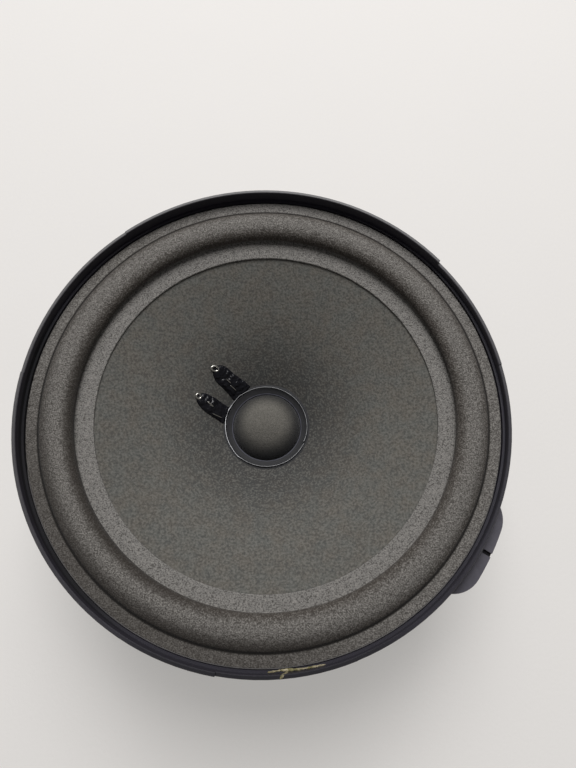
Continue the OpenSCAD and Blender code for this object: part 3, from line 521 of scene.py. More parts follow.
def dull_cement(tint):
    """The same cement thinned over felt and paper: dull, blue-grey, with faint brush streaks
    and a pale line where it meets the dome."""
    f = Finish("dull_cement")
    turn = f.y.bearing(f.x)
    streak_at = f.node("CombineXYZ", None, {0: turn * 0.004, 1: f.radius, 2: 0.0})
    streaks = f.noise(0.00035, 3, 0.6, at=streak_at)
    skin = f.noise(0.0016, 3)
    base = f.mix(scaled(tint, (3.5, 3.5, 2.85)), scaled(tint, (7.4, 7.4, 6.0)),
                 streaks * 0.5 + skin * 0.5)
    line = f.radius.distance(0.01335).ramp(0.00022, 0.00008)
    base = f.mix(base, tone(tint, 17), line * (0.35 + 0.5 * skin))
    return f.surface(Base_Color=base, Roughness=0.55 + 0.2 * skin, Specular_IOR_Level=0.3,
                     Normal=f.bump(streaks, 0.00006, 0.6))


def edge_adhesive(tint):
    """Dull grey bead, smeared by hand."""
    f = Finish("edge_adhesive")
    smears = f.noise(0.0018, 3, 0.6)
    grit = f.noise(0.0004, 2)
    return f.surface(Base_Color=f.mix(tone(tint, 0.45), tone(tint, 1.1), smears), Roughness=0.6,
                     Normal=f.bump(smears * 0.6 + grit * 0.4, 0.00015))


def dried_glue(tint):
    """Yellowed contact adhesive: pale where it is thin, olive-brown where it is thick."""
    f = Finish("dried_glue")
    patches = f.noise(0.0008, 3, 0.65).ramp(0.36, 0.64)
    thick = f.noise(0.0022, 2).ramp(0.42, 0.60)
    base = f.mix(tone(tint, 1.1), scaled(tint, (0.46, 0.47, 0.26)), thick)
    base = f.mix(base, tone(tint, 0.25), 0.45 * patches)
    return f.surface(Base_Color=base, Roughness=0.5, Normal=f.bump(patches, 0.00015))


def former_foil(tint):
    """Aluminium foil with rolling lines along the axis. A painted reflection keeps it bright on the
    left; all round the rest it is dull grey, darker towards the top as painted shade."""
    f = Finish("former_foil")
    lines = f.noise(0.0004, 2, stretch=(1, 1, 0.05))
    # Painted reflection: the foil is kept bright on the left side.
    bright = f.facing(0.98, 0.19).ramp(-0.70, -0.82)
    base = f.mix(tone(tint, 0.8), tint, lines)
    # Painted shade: the dull foil is darker towards the top.
    dull = f.mix(tone(tint, 0.28), tone(tint, 0.50), f.facing(0, 1).ramp(0.5, -0.8))
    base = f.mix(dull, base, bright)
    return f.surface(Base_Color=base, Metallic=1.0,
                     Roughness=0.34 + 0.2 * lines, Normal=f.bump(lines, 0.00002, 0.5))


def tinned_metal(tint):
    """Tin over brass: slightly dull, with wipe marks."""
    f = Finish("tinned_brass")
    wipes = f.noise(0.0007, 3, 0.6, 0.3)
    base = f.mix(tone(tint, 0.72), tone(tint, 1.12), wipes)
    return f.surface(Base_Color=base, Metallic=1.0, Roughness=0.20 + 0.22 * wipes,
                     Normal=f.bump(wipes, 0.00003, 0.6))


def copper_winding(tint):
    """Enamelled wire laid turn on turn, a quarter of a millimetre apart."""
    f = Finish("enamelled_copper")
    turns = (f.z * (FULL_TURN / 0.00025)).sine() * 0.5 + 0.5
    shade = f.noise(0.002, 2)
    base = f.mix(tone(tint, 0.45), tint, turns * 0.7 + shade * 0.3)
    return f.surface(Base_Color=base, Metallic=0.85, Roughness=0.3, Coat_Weight=0.5,
                     Coat_Roughness=0.1, Normal=f.bump(turns, 0.00008))


def spider_cloth(tint):
    """Plain-woven cotton stiffened with resin: a weave 0.6 mm apart and darker stains."""
    f = Finish("spider_cloth", bends=True)
    pitch = FULL_TURN / 0.00062
    weave = (f.x * pitch).sine() * (f.y * pitch).sine() * 0.5 + 0.5
    resin = f.noise(0.006, 3)
    fluff = f.noise(0.0003, 2)
    base = f.mix(tone(tint, 0.5), tone(tint, 1.15), weave * 0.55 + fluff * 0.25 + resin * 0.2)
    stain = 0.6 * f.radius.ramp(0.0195, 0.0165) + 0.25 * resin.ramp(0.5, 0.8)
    base = f.mix(base, tone(tint, 0.42), stain)
    return f.surface(Base_Color=base, Roughness=0.7,
                     Normal=f.bump(weave * 0.7 + fluff * 0.3, 0.00018, 0.8))


def plated_steel(tint, handled):
    """Zinc plate over turned steel: fine rings, a dull bloom and a few dark handling marks."""
    f = Finish("plated_steel")
    ring_at = f.node("CombineXYZ", None, {0: f.radius, 1: f.z, 2: 0.0})
    rings = f.noise(0.00022, 3, 0.6, at=ring_at)
    bloom = f.noise(0.009, 4, 0.6)
    marks = f.noise(0.0032, 3, 0.6, 0.8).ramp(0.60, 0.74)
    base = f.mix(tone(tint, 0.8), tone(tint, 1.15), rings * 0.4 + bloom * 0.6)
    base = f.mix(base, handled, 0.35 * marks)
    return f.surface(Base_Color=base, Metallic=0.9, Roughness=0.34 + 0.14 * bloom + 0.1 * marks,
                     Normal=f.bump(rings, 0.00002, 0.6))


def sintered_ferrite(tint):
    """Ceramic magnet: ground faces with fine scratches, a grainy edge and pale chips."""
    f = Finish("ferrite")
    grain = f.noise(0.00035, 3, 0.7)
    scratches = f.noise(0.0012, 4, 0.7, stretch=(0.06, 1, 1))
    chips = f.cells(0.0052).ramp(0.10, 0.04)
    base = f.mix(tone(tint, 0.7), tone(tint, 1.7), grain * 0.55 + scratches * 0.45)
    base = f.mix(base, tone(tint, 3.2), 0.5 * chips)
    return f.surface(Base_Color=base, Roughness=0.50 + 0.2 * grain,
                     Normal=f.bump(grain * 0.6 + scratches * 0.4, 0.00006, 0.8))


def gasket_foam(tint):
    """Closed-cell foam ring: round cells and a slight dusting."""
    f = Finish("gasket_foam")
    cells = f.cells(0.00085)
    dust = f.noise(0.0015, 3).ramp(0.55, 0.8)
    base = f.mix(tint, tone(tint, 3.5), cells.ramp(0.1, 0.7) * 0.5 + dust * 0.3)
    return f.surface(Base_Color=base, Roughness=0.85, Normal=f.bump(cells, 0.0003, 0.7))


def socket_plastic(tint):
    """Connector moulding: a finer grain than the basket's and a little more gloss."""
    f = Finish("housing_plastic")
    grain = f.noise(0.00018, 2)
    flow = f.noise(0.004, 3)
    return f.surface(Base_Color=f.mix(tone(tint, 0.7), tone(tint, 1.1), flow),
                     Roughness=0.36 + 0.12 * flow, Normal=f.bump(grain, 0.00003, 0.5))


def tinsel_braid(tint):
    """Copper tinsel: fine foil strands, bright on their crowns and dull between."""
    f = Finish("tinsel_braid", bends=True)
    strands = f.noise(0.00022, 3, 0.6, 0.4)
    return f.surface(Base_Color=f.mix(tone(tint, 0.35), tone(tint, 1.2), strands), Metallic=0.9,
                     Roughness=0.35 + 0.2 * strands, Normal=f.bump(strands, 0.0001))


def floor_board(tint, glow):
    """Pale painted board with a faint mottle. Seen directly or in gloss it also shines by a
    share of its own colour, so that it stays pale while it lights the part plainly."""
    f = Finish("floor_board")
    mottle = f.noise(0.05, 4, 0.6)
    tooth = f.noise(0.0016, 3, 0.6)
    grain = mottle * 0.6 + tooth * 0.4
    base = f.mix(tone(tint, 0.965), tone(tint, 1.01), grain)
    path = f.node("LightPath").socket.node.outputs
    rays = ("Is Camera Ray", "Is Glossy Ray", "Is Transmission Ray")
    camera, glossy, through = (Wire(f, path[ray]) for ray in rays)
    shine = f.mix((0.0, 0.0, 0.0), glow, camera + glossy + through)
    return f.surface(Base_Color=base, Roughness=0.85, Specular_IOR_Level=0.2,
                     Emission_Color=shine, Emission_Strength=1.0,
                     Normal=f.bump(tooth, 0.0002, 0.4))


# Surfaces


def ripple(u, v, seed):
    """Smooth irregular height, mostly between -1 and 1: over three octaves, each twice as fine
    and half as high as the last, the mean of six sine waves that run in random directions."""
    rng = np.random.default_rng(seed)
    total = np.zeros(np.broadcast(u, v).shape)
    for octave in (1, 2, 4):
        for heading, phase in rng.uniform(0, FULL_TURN, (6, 2)):
            wave = np.sin(octave * (u * np.cos(heading) + v * np.sin(heading)) + phase)
            total += wave / (6 * octave)
    return total


def run_along(points):
    """How far along a line of points each of them is."""
    return np.r_[0, np.cumsum(np.linalg.norm(np.diff(points, axis=0), axis=1))]


def resampled(points, step):
    """Outline with points an even step apart along its length."""
    points = np.asarray(points, float)
    run = run_along(points)
    at = np.linspace(0, run[-1], max(3, int(round(run[-1] / step)) + 1))
    return np.stack([np.interp(at, run, points[:, k]) for k in range(points.shape[1])], axis=1)


def softened(points, step, spread, closed=False):
    """Outline resampled and averaged with a bell curve of the given spread: a closed one all
    round, an open one with its two ends kept."""
    reach = int(math.ceil(3 * spread / step))
    bell = np.exp(-0.5 * (np.arange(-reach, reach + 1) * step / spread) ** 2)
    if closed:
        line = resampled(np.vstack([points, points[:1]]), step)[:-1]
        before, after = line[-reach:], line[:reach]
    else:
        line = resampled(points, step)
        before, after = 2 * line[0] - line[reach:0:-1], 2 * line[-1] - line[-2:-reach - 2:-1]
    padded = np.concatenate([before, line, after])
    share = bell / bell.sum()
    return np.stack([np.convolve(padded[:, k], share, "valid") for k in range(2)], axis=1)


def grid_faces(rows, columns, close_rows, close_columns):
    """Quads of a grid of points; a closed direction joins its last line to its first."""
    i = np.arange(rows if close_rows else rows - 1)[:, None]
    j = np.arange(columns if close_columns else columns - 1)[None, :]
    down, right = (i + 1) % rows, (j + 1) % columns
    corners = [i * columns + j, down * columns + j, down * columns + right, i * columns + right]
    return np.stack(np.broadcast_arrays(*corners), axis=-1).reshape(-1, 4)


def add_piece(name, points, faces, finish, body, slot):
    """A shown object with smooth faces, at the origin, that rides on a body; the slot is not used.
    """
    mesh = bpy.data.meshes.new(name)
    mesh.from_pydata(points.reshape(-1, 3), [], faces)
    mesh.polygons.foreach_set("use_smooth", np.ones(len(mesh.polygons), bool))
    mesh.materials.append(finish)
    mesh.update()
    piece = bpy.data.objects.new(name, mesh)
    bpy.context.scene.collection.objects.link(piece)
    if body:
        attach(piece, body)
    return piece


def all_round(count):
    """Angles all the way round, an even step apart."""
    return np.linspace(0, FULL_TURN, count, endpoint=False)


def turned(outline, turns, shift=None):
    """Points of a closed surface of revolution: an outline point (r, z) at the angle t goes to
    (r cos t, r sin t, z), after shift(x, y, r, z) has added its pair to r and z."""
    t = all_round(turns)[:, None]
    r, z = np.broadcast_to(outline[:, 0], (turns, len(outline))), outline[:, 1] + 0 * t
    if shift is not None:
        out, up = shift(r * np.cos(t), r * np.sin(t), r, z)
        r, z = r + out, z + up
    return np.stack([r * np.cos(t), r * np.sin(t), z], axis=-1)


def turned_piece(name, outline, turns, finish, body, slot, shift=None):
    """A ring from a closed outline that runs anticlockwise in (r, z)."""
    points = turned(outline, turns, shift)
    faces = grid_faces(turns, len(outline), True, True)
    return add_piece(name, points, faces, finish, body, slot)


def capped(points):
    """Points of a tube whose sections are the grid's rows, with a middle point added at each
    end, and its faces, which close each end by a fan round that point."""
    rows, columns = points.shape[:2]
    flat = points.reshape(-1, 3)
    flat = np.vstack([flat, points[0].mean(0), points[-1].mean(0)])
    j = np.arange(columns)
    k = (j + 1) % columns
    first = np.stack([np.full(columns, rows * columns), j, k], axis=1)
    last_row = (rows - 1) * columns
    last = np.stack([np.full(columns, rows * columns + 1), last_row + k, last_row + j], axis=1)
    quads = grid_faces(rows, columns, False, True)
    return flat, quads.tolist() + first.tolist() + last.tolist()


def ridge(spine, side, up, half, rise, sunk, columns):
    """Closed ridge along a spine: round each spine point an angle w from 0 to 360 degrees gives
    spine + side * half * cos w + up * rise * (sin w) ^ 1.2, with sunk in place of rise below."""
    w = all_round(columns)
    height = np.sign(np.sin(w)) * np.abs(np.sin(w)) ** 1.2
    tall = np.where(height > 0, rise[:, None], sunk) * height
    return (spine[:, None] + side[:, None] * (half[:, None] * np.cos(w))[..., None]
            + up[:, None] * tall[..., None])


def bar(spine, side, up, radius, w):
    """Round bar along a spine: round each spine point the angle w gives
    spine + radius (side cos w + up sin w)."""
    ring = side[:, None] * np.cos(w)[:, None] + up[:, None] * np.sin(w)[:, None]
    return spine[:, None] + radius[..., None] * ring


def unit(vectors):
    """Vectors scaled to length 1."""
    return vectors / np.linalg.norm(vectors, axis=-1, keepdims=True)


def left_of(line):
    """Directions square to a flat line of points, to its left."""
    return unit(np.stack([-np.gradient(line[:, 1]), np.gradient(line[:, 0])], axis=1))


def tapered(u, power, least):
    """Share of the full thickness along a run u from 0 to 1, which closes at both ends: the
    square root of 1 - (2 u - 1) ^ power, where the root's content is never under least."""
    return np.sqrt(np.clip(1 - (2 * u - 1) ** power, least, 1))


def outwards(t):
    """Level directions away from the axis at one or more angles."""
    return np.stack([np.cos(t), np.sin(t), 0 * t], axis=-1)


def round_z(points, a):
    """Points turned about the axis by an angle."""
    c, s = math.cos(a), math.sin(a)
    x, y = points[..., 0], points[..., 1]
    return np.stack([x * c - y * s, x * s + y * c, points[..., 2]], axis=-1)


def cone_height(r, sizes):
    """Height of the cone's face at a radius: a chord from neck to edge with a parabolic bulge."""
    t = (r - sizes.neck_radius) / (sizes.cone_radius - sizes.neck_radius)
    rise = sizes.cone_edge - sizes.neck_height
    return sizes.neck_height + t * rise + 4 * sizes.cone_flare * t * (1 - t)


def cone_lean(r, sizes):
    """Angle at which the cone's face rises outwards at a radius."""
    step = 0.001
    return math.atan((cone_height(r + step, sizes) - cone_height(r - step, sizes)) / (2 * step))


def off_centre(x, y, r, sizes):
    """Radial shift (dx x + dy y) / r of a point of the cone or the surround. The pair (dx, dy)
    runs evenly from zero near the neck to the cone's shift at its edge, to the crease's shift at
    the roll's inner crease and back to zero at the outer one."""
    at = (sizes.neck_radius + 0.004, sizes.cone_radius, sizes.roll_inner, sizes.roll_outer)
    dx, dy = (np.interp(r, at, (0, sizes.cone_shift[k], sizes.crease_shift[k], 0)) for k in (0, 1))
    return (dx * x + dy * y) / r


def crossing_weights(piece, radius_fixed, radius_moving):
    """Works out a ring's share of the moving body's travel, rising from 0 at radius_fixed to 1 at
    radius_moving, and writes each vertex's place at rest."""
    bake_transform(piece)
    place = vertex_places(piece)
    radius = np.hypot(place[0::3], place[1::3])
    share = np.clip((radius - radius_fixed) / (radius_moving - radius_fixed), 0, 1)
    set_shares(piece, share)


def vertex_places(piece):
    """Places of a piece's vertices, as one flat array."""
    place = np.empty(len(piece.data.vertices) * 3)
    piece.data.vertices.foreach_get("co", place)
    return place


def set_shares(piece, share):
    """Smooths each vertex's share of the moving body at both ends without storing it, and writes
    each vertex's place at rest, which the finish reads."""
    smooth = (share * share * (3 - 2 * share)).astype(np.float32)
    rest = piece.data.attributes.new(REST_PLACE, "FLOAT_VECTOR", "POINT")
    rest.data.foreach_set("vector", vertex_places(piece))


# Operators


def scene_settings(context, *groups):
    """The scene's groups of settings with these names: front, glue, rear or colours."""
    return (getattr(context.scene, "speaker_" + group) for group in groups)


def paint(node, finish):
    """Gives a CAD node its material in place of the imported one."""
    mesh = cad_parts[node].data
    mesh.materials.clear()
    mesh.materials.append(finish)


class SPEAKER_OT_basket(bpy.types.Operator):
    """Finish the moulded basket and the connector's body"""

    bl_idname = "speaker.basket"
    bl_label = "Basket and connector body"

    def execute(self, context):
        tints = context.scene.speaker_colours
        paint("basket", basket_plastic(tints.plastic, tints.plastic_worn_and_highlight))
        paint("terminal_housing", socket_plastic(tints.plastic))
        return {"FINISHED"}


class SPEAKER_OT_motor(bpy.types.Operator):
    """Finish the steel plates, the pole, the rivets, the magnet and the winding"""

    bl_idname = "speaker.motor"
    bl_label = "Motor"

    def execute(self, context):
        tints = context.scene.speaker_colours
        steel = plated_steel(tints.plating, tints.handled)
        for node in ("top_plate", "back_plate", "pole_piece", "plate_rivets"):
            paint(node, steel)
        paint("magnet", sintered_ferrite(tints.ferrite))
        paint("voice_coil", copper_winding(tints.copper))
        return {"FINISHED"}


class SPEAKER_OT_surround(bpy.types.Operator):
    """Build the half-roll foam surround between the basket and the cone"""

    bl_idname = "speaker.surround"
    bl_label = "Foam surround"

    def execute(self, context):
        s, tints = scene_settings(context, "front", "colours")
        mid, half = (s.roll_inner + s.roll_outer) / 2, (s.roll_outer - s.roll_inner) / 2
        slope = s.cone_lip_rise / (s.cone_lip_radius - s.cone_radius)
        low = s.cone_edge + (s.roll_inner - s.cone_radius) * slope
        climb = (s.seat_height - low) / (s.roll_outer - s.roll_inner)
        sweep = np.linspace(np.pi, 0, 60)

        def roll(turn, reach, base, height):
            """Half an ellipse whose crown leans inwards, on the slope from crease to crease."""
            r = mid + reach * np.cos(turn) - s.roll_lean * np.sin(turn)
            z = low + climb * (r - s.roll_inner) + base + height * np.sin(turn)
            return np.stack([r, z], axis=1)

        hollow = s.roll_height + s.foam_thickness - s.roll_thickness
        top = np.vstack([
            [[s.cone_radius, s.cone_edge + s.foam_thickness]],
            roll(sweep, half, s.foam_thickness, s.roll_height),
            [[s.foam_radius, s.seat_height + s.foam_thickness]],
        ])
        under = np.vstack([
            [[s.foam_radius, s.seat_height], [s.roll_outer - 0.0004, s.seat_height]],
            roll(sweep[::-1], half - s.roll_thickness, 0, hollow),
            [[s.cone_lip_radius, s.cone_edge + s.cone_lip_rise], [s.cone_radius, s.cone_edge]],
        ])
        loop = np.vstack([softened(top, SECTION_STEP, s.crease_softness),
                          softened(under, SECTION_STEP, 0.0001)])
        loop = softened(loop, SECTION_STEP, 0.00012, closed=True)[::-1]

        def uneven(x, y, r, z):
            """Slight waves of the pressed foam, up to 0.12 mm high in the roll."""
            swell = np.clip((z - s.seat_height) / 0.004, 0, 1)
            out = off_centre(x, y, r, s) + 0.00005 * ripple(x * 260, y * 260, 5)
            return out, 0.00012 * swell * ripple(x * 150, y * 150, 4)

        foam = surround_foam(tints.foam, tints.foam_aged_and_shade, tints.foam_speck, tuple(s.crease_shift))
        piece = turned_piece("foam_surround", loop, FINE_TURNS, foam, None, "surround_foam",
                             uneven)
        crossing_weights(piece, s.roll_outer - 0.0006, s.roll_inner + 0.0006)
        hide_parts("surround")
        return {"FINISHED"}


class SPEAKER_OT_cone(bpy.types.Operator):
    """Build the pressed paper cone"""

    bl_idname = "speaker.cone"
    bl_label = "Paper cone"

    def execute(self, context):
        s, tints = scene_settings(context, "front", "colours")
        r = np.linspace(s.neck_radius, s.cone_radius, 70)
        face = np.stack([r, cone_height(r, s)], axis=1)
        face = np.vstack([face, [[s.cone_lip_radius, s.cone_edge + s.cone_lip_rise]]])
        upright = s.paper * 1.15
        loop = np.vstack([face[::-1], face - [0, upright]])

        def uneven(x, y, r, z):
            """Paper dried in its mould: soft dents up to 0.06 mm deep."""
            return off_centre(x, y, r, s), 0.00006 * ripple(x * 190, y * 190, 11)

        paper = cone_paper(tints.paper, tints.paper_dark)
        piece = turned_piece("paper_cone", loop, 360, paper, MOVING, "cone_paper", uneven)
        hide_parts("cone")
        return {"FINISHED"}


class SPEAKER_OT_dust_cap(bpy.types.Operator):
    """Build the felt dome and its glued flange"""

    bl_idname = "speaker.dust_cap"
    bl_label = "Felt dome"

    def execute(self, context):
        s, tints = scene_settings(context, "front", "colours")
        bore = s.neck_radius - s.former_wall
        k = np.sin(np.linspace(np.pi / 2, 0.03, 60))
        crown = s.dome_height * (1 - k * k) ** 0.64
        outside = np.stack([s.dome_radius * k, s.dome_edge + crown], axis=1)
        inside = np.stack([(s.dome_radius - s.felt) * k, s.dome_edge - s.felt + crown], axis=1)
        flange = [[bore, s.dome_edge - s.felt], [bore, s.dome_edge]]
        loop = np.vstack([inside[::-1], flange, outside])

        def nap(x, y, r, z):
            """The felt's nap and the slight dents of a pressed dome."""
            dents = 0.00009 * ripple(x * 420, y * 420, 8)
            return 0 * r, 0.00004 * ripple(x * 5200, y * 5200, 3) + dents

        rings = turned(loop[::-1], 180, nap).transpose(1, 0, 2)
        felt = cap_felt(tints.felt, tints.felt_soaked_and_shade)
        piece = add_piece("felt_dome", *capped(rings), felt, MOVING, "cap_felt")
        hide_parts("dust_cap")
        return {"FINISHED"}


# Soft kinks of the former's edge: the bearing in degrees, the height and the width in degrees.
RING_KINKS = ((132, 0.00022, 4.0), (157, 0.00018, 4.0), (170, 0.00018, 3.5), (226, 0.00026, 6.0))


def turn_from(t, start):
    """Shortest turn from one angle to another, from minus to plus half a turn."""
    return (t - start + np.pi) % FULL_TURN - np.pi


def ring_offset(t, slit):
    """How far the former's foil stands off a true circle at an angle: slightly oval, with four
    soft kinks of the form height / (1 + (turn / width) ^ 2), and stepped at the slit."""
    out = 0.00016 * np.cos(t - math.radians(172)) + 0.00010 * np.cos(2 * t - math.radians(300))
    for degrees, height, width in RING_KINKS:
        apart = turn_from(t, math.radians(degrees))
        out = out + height / (1 + (apart / math.radians(width)) ** 2)
    past = turn_from(t, slit)
    return out + 0.00022 * np.exp(-np.abs(past) / 0.12) * -np.sign(past)


class SPEAKER_OT_former(bpy.types.Operator):
    """Build the former's bright foil, its ends meeting at the slit"""

    bl_idname = "speaker.former"
    bl_label = "Voice-coil former"

    def execute(self, context):
        s, tints = scene_settings(context, "front", "colours")
        wall = s.former_wall
        gap = math.radians(0.9)
        t = np.linspace(s.slit_angle + gap, s.slit_angle + FULL_TURN - gap, 420)
        z = np.r_[s.former_foot, np.linspace(s.neck_height - 0.001, s.ring_height, 12)]
        free = np.clip((z - s.neck_height + 0.0004) / (s.ring_height - s.neck_height), 0, 1) ** 1.5
        off = ring_offset(t, s.slit_angle)[:, None]
        outer = s.neck_radius + off * free
        nick = 0.00007 * ripple(t * 14, 0 * t, 21)[:, None] * free
        thin = wall + (s.former_edge - wall) * free
        r = np.concatenate([outer, (outer - thin)[:, ::-1]], axis=1)
        h = np.concatenate([z + nick, (z + nick)[:, ::-1]], axis=1)
        points = np.stack([r * np.cos(t)[:, None], r * np.sin(t)[:, None], h], axis=-1)
        foil = former_foil(tints.foil)
        piece = add_piece("foil_former", *capped(points), foil, MOVING, "former_foil")
        piece.data.set_sharp_from_angle(angle=math.radians(35))
        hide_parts("former")
        return {"FINISHED"}


class SPEAKER_OT_neck_glue(bpy.types.Operator):
    """Build the adhesive round the neck and the fillet round the dome"""

    bl_idname = "speaker.neck_glue"
    bl_label = "Neck and dome adhesive"

    def execute(self, context):
        s, tints = scene_settings(context, "front", "colours")
        neck = s.neck_radius
        wide = neck + s.neck_glue
        slope = [[wide, cone_height(wide, s)], [neck + 0.0004, s.neck_height + 0.0006],
                 [neck, s.neck_height + 0.001], [neck - 0.0001, s.neck_height - 0.0003],
                 [wide - 0.0003, cone_height(wide, s) - 0.0003]]
        loop = softened(np.array(slope), 0.0001, 0.0001, closed=True)

        def brushed(x, y, r, z):
            """A hand-laid ring: its outer edge wanders by 0.2 mm."""
            edge = np.clip((r - neck) / s.neck_glue, 0, 1)
            wander = 0.0002 * edge * ripple(x * 700, y * 700, 17)
            return wander, 0.00006 * ripple(x * 900, y * 900, 18)

        dull = dull_cement(tints.cement)
        piece = turned_piece("neck_adhesive", loop, TURNS, dull, MOVING, "black_adhesive",
                             brushed)
        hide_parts("neck_glue")

        bore = neck - s.former_wall + 0.00005
        top = s.dome_edge
        brim = s.ring_height - 0.00045
        dish = [[bore, top - 0.0001], [bore, brim], [bore - 0.00016, brim - 0.00005],
                [bore - 0.0005, top + 0.0016], [bore - 0.0011, top + 0.0012],
                [bore - 0.0017, top + 0.0009], [s.dome_radius + 0.0005, top + 0.00072],
                [s.dome_radius + 0.0002, top + 0.00066], [s.dome_radius - 0.0001, top + 0.0003],
                [s.dome_radius - 0.0001, top - 0.0001]]
        loop = softened(np.array(dish), 0.00009, 0.00006, closed=True)

        def pooled(x, y, r, z):
            """Glue that set in shallow pools."""
            return 0 * r, 0.00005 * ripple(x * 1100, y * 1100, 27)

        piece = turned_piece("dome_adhesive", loop, TURNS, dull, MOVING, "black_adhesive",
                             pooled)
        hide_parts("cap_glue")
        return {"FINISHED"}


# A lead-out: its eyelet's distance from the axis and bearing, the bearing and arc of its root at
# the neck, the cement's half width at the tip and its seed, and the eyelet's hole radius, how far
# it is drawn out and the turn of its long side in degrees.
Lead = namedtuple("Lead", "radius angle root arc tip_half seed hole stretch askew")


def leads(glue):
    """The two lead-outs."""
    return (
        Lead(glue.eyelet_1_radius, glue.eyelet_1_angle, glue.root_1_angle, glue.root_1_arc,
             0.0028, 31, 0.00062, 1.5, 36),
        Lead(glue.eyelet_2_radius, glue.eyelet_2_angle, glue.root_2_angle, glue.root_2_arc,
             0.0025, 47, 0.00055, 1.15, -30),
    )


# Bare stretches of the lead-outs: both ends, the wire's radius and its lift off the paper.
BARED_WIRES = (
    ((-0.0224, 0.00815), (-0.0204, 0.00660), 0.00034, 0.00140),
    ((-0.0156, 0.0172), (-0.0140, 0.0160), 0.00020, 0.00165),
    ((-0.0141, 0.0152), (-0.0120, 0.0136), 0.00016, 0.00170),
    ((-0.0206, 0.0040), (-0.0172, 0.0029), 0.00017, 0.00110),
)


class SPEAKER_OT_lead_outs(bpy.types.Operator):
    """Build the cement ridges, the eyelets and the bared wire on the cone"""

    bl_idname = "speaker.lead_outs"
    bl_label = "Lead-outs"

    def execute(self, context):
        s, glue, tints = scene_settings(context, "front", "glue", "colours")
        wet = glossy_cement(tints.cement)
        tin = tinned_metal(tints.tin)
        for k, lead in enumerate(leads(glue), start=1):
            self.cement(k, lead, s, glue.cement_height, wet)
            self.eyelet(k, lead, s, glue.eyelet_lip, tin)
            paint(f"coil_lead_{k}", wet)
        for k, (start, end, girth, lift) in enumerate(BARED_WIRES, start=1):
            self.bared_wire(k, s, tin, np.array(start), np.array(end), girth, lift)
        return {"FINISHED"}

    def cement(self, k, lead, s, tall, wet):
        """Ridge from the former to just past the inner half of the eyelet. Its middle line is
        straight, its half width goes from the root's chord to the tip's with a bulge of 0.3 mm,
        both sides wander, and it closes in a quarter ellipse at the tip."""
        u = np.linspace(0, 1, 90)
        root = outwards(lead.root)[:2] * (s.neck_radius + 0.0003)
        tip = outwards(lead.angle)[:2] * (lead.radius + 0.0003)
        middle = root + (tip - root) * u[:, None]
        along = unit(tip - root)
        side = np.array([-along[1], along[0]])
        start = s.neck_radius * math.sin(lead.arc / 2)
        half = start * (1 - u) + lead.tip_half * u + 4 * 0.0003 * u * (1 - u)
        end = np.sqrt(np.clip(1 - (np.clip(u - 0.80, 0, 1) / 0.205) ** 2, 0, 1))
        half = half * (0.15 + 0.85 * end) * (1 + 0.09 * ripple(u * 9, 0 * u, lead.seed))
        middle = middle + side * (0.00030 * ripple(u * 5, 0 * u, lead.seed + 1))[:, None]
        rise = tall * (1 - 0.30 * u * u) * end * (0.80 + 0.20 * np.clip(u / 0.25, 0, 1))
        rise = rise * (1 + 0.08 * ripple(u * 8, 0 * u, lead.seed + 2))
        w = all_round(36)
        v = np.cos(w)
        bow = (s.neck_radius * (1 - math.cos(lead.arc / 2))) * (1 - u[:, None]) * v ** 2
        xy = middle[:, None] + side * (half[:, None] * v)[..., None] - along * bow[..., None]
        top = np.clip(np.sin(w), 0, 1) ** 1.15
        under = np.clip(-np.sin(w), 0, 1)
        lump = 1 + 0.24 * ripple(u[:, None] * 11, v * 6 + 0 * u[:, None], lead.seed + 3)
        z = (cone_height(np.hypot(xy[..., 0], xy[..., 1]), s)
             + rise[:, None] * top * lump - 0.00025 * under - 0.00002)
        points = np.concatenate([xy, z[..., None]], axis=-1)
        piece = add_piece(f"cement_ridge_{k}", *capped(points), wet, MOVING, "black_adhesive")
        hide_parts(f"lead_cement_{k}")

    def eyelet(self, k, lead, s, lip, tin):
        """Rolled eyelet: a closed outline round the hole, turned about the eyelet's own axis,
        drawn out to an oval whose long side stands at an angle to the cone's slope, and leaned
        square to the paper."""
        hole, turns = lead.hole, 48
        w = all_round(20)
        rim = np.stack([hole + lip + lip * np.cos(w), lip * 0.9 + lip * np.sin(w)], axis=1)
        tube = np.array([[hole, -0.0009], [hole + 0.0003, -0.0009]])
        loop = np.vstack([tube[1:], rim[(w < 4.2) | (w > 5.2)], tube[:1]])
        loop = softened(loop, 0.00008, 0.00006, closed=True)
        points = turned(loop, turns)
        points[..., 0] *= lead.stretch
        points = round_z(points, math.radians(lead.askew))
        lean = -cone_lean(lead.radius, s)
        c, n = math.cos(lean), math.sin(lean)
        x, z = points[..., 0] * c + points[..., 2] * n, -points[..., 0] * n + points[..., 2] * c
        z = z + cone_height(lead.radius, s) + 0.00045
        points = np.stack([x + lead.radius, points[..., 1], z], axis=-1)
        faces = grid_faces(turns, len(loop), True, True)
        piece = add_piece(f"rolled_eyelet_{k}", round_z(points, lead.angle), faces, tin, MOVING,
                          "tinned_brass")
        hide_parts(f"lead_eyelet_{k}")

    def bared_wire(self, k, s, tin, start, end, girth, lift):
        """A short stretch of lead-out wire that breaks the cement: a round bar with tapered
        ends that follows the cone at a lift above the paper."""
        u = np.linspace(0, 1, 30)
        line = start + (end - start) * u[:, None]
        z = cone_height(np.hypot(line[:, 0], line[:, 1]), s) + lift
        spine = np.concatenate([line, z[:, None]], axis=1)
        along = unit(np.gradient(spine, axis=0))
        side = unit(np.cross(along, UP))
        down = np.cross(along, side)
        radius = girth * tapered(u, 6, 0.02)[:, None]
        points = bar(spine, side, down, radius, all_round(16))
        add_piece(f"bared_wire_{k}", *capped(points), tin, MOVING, "tinned_brass")


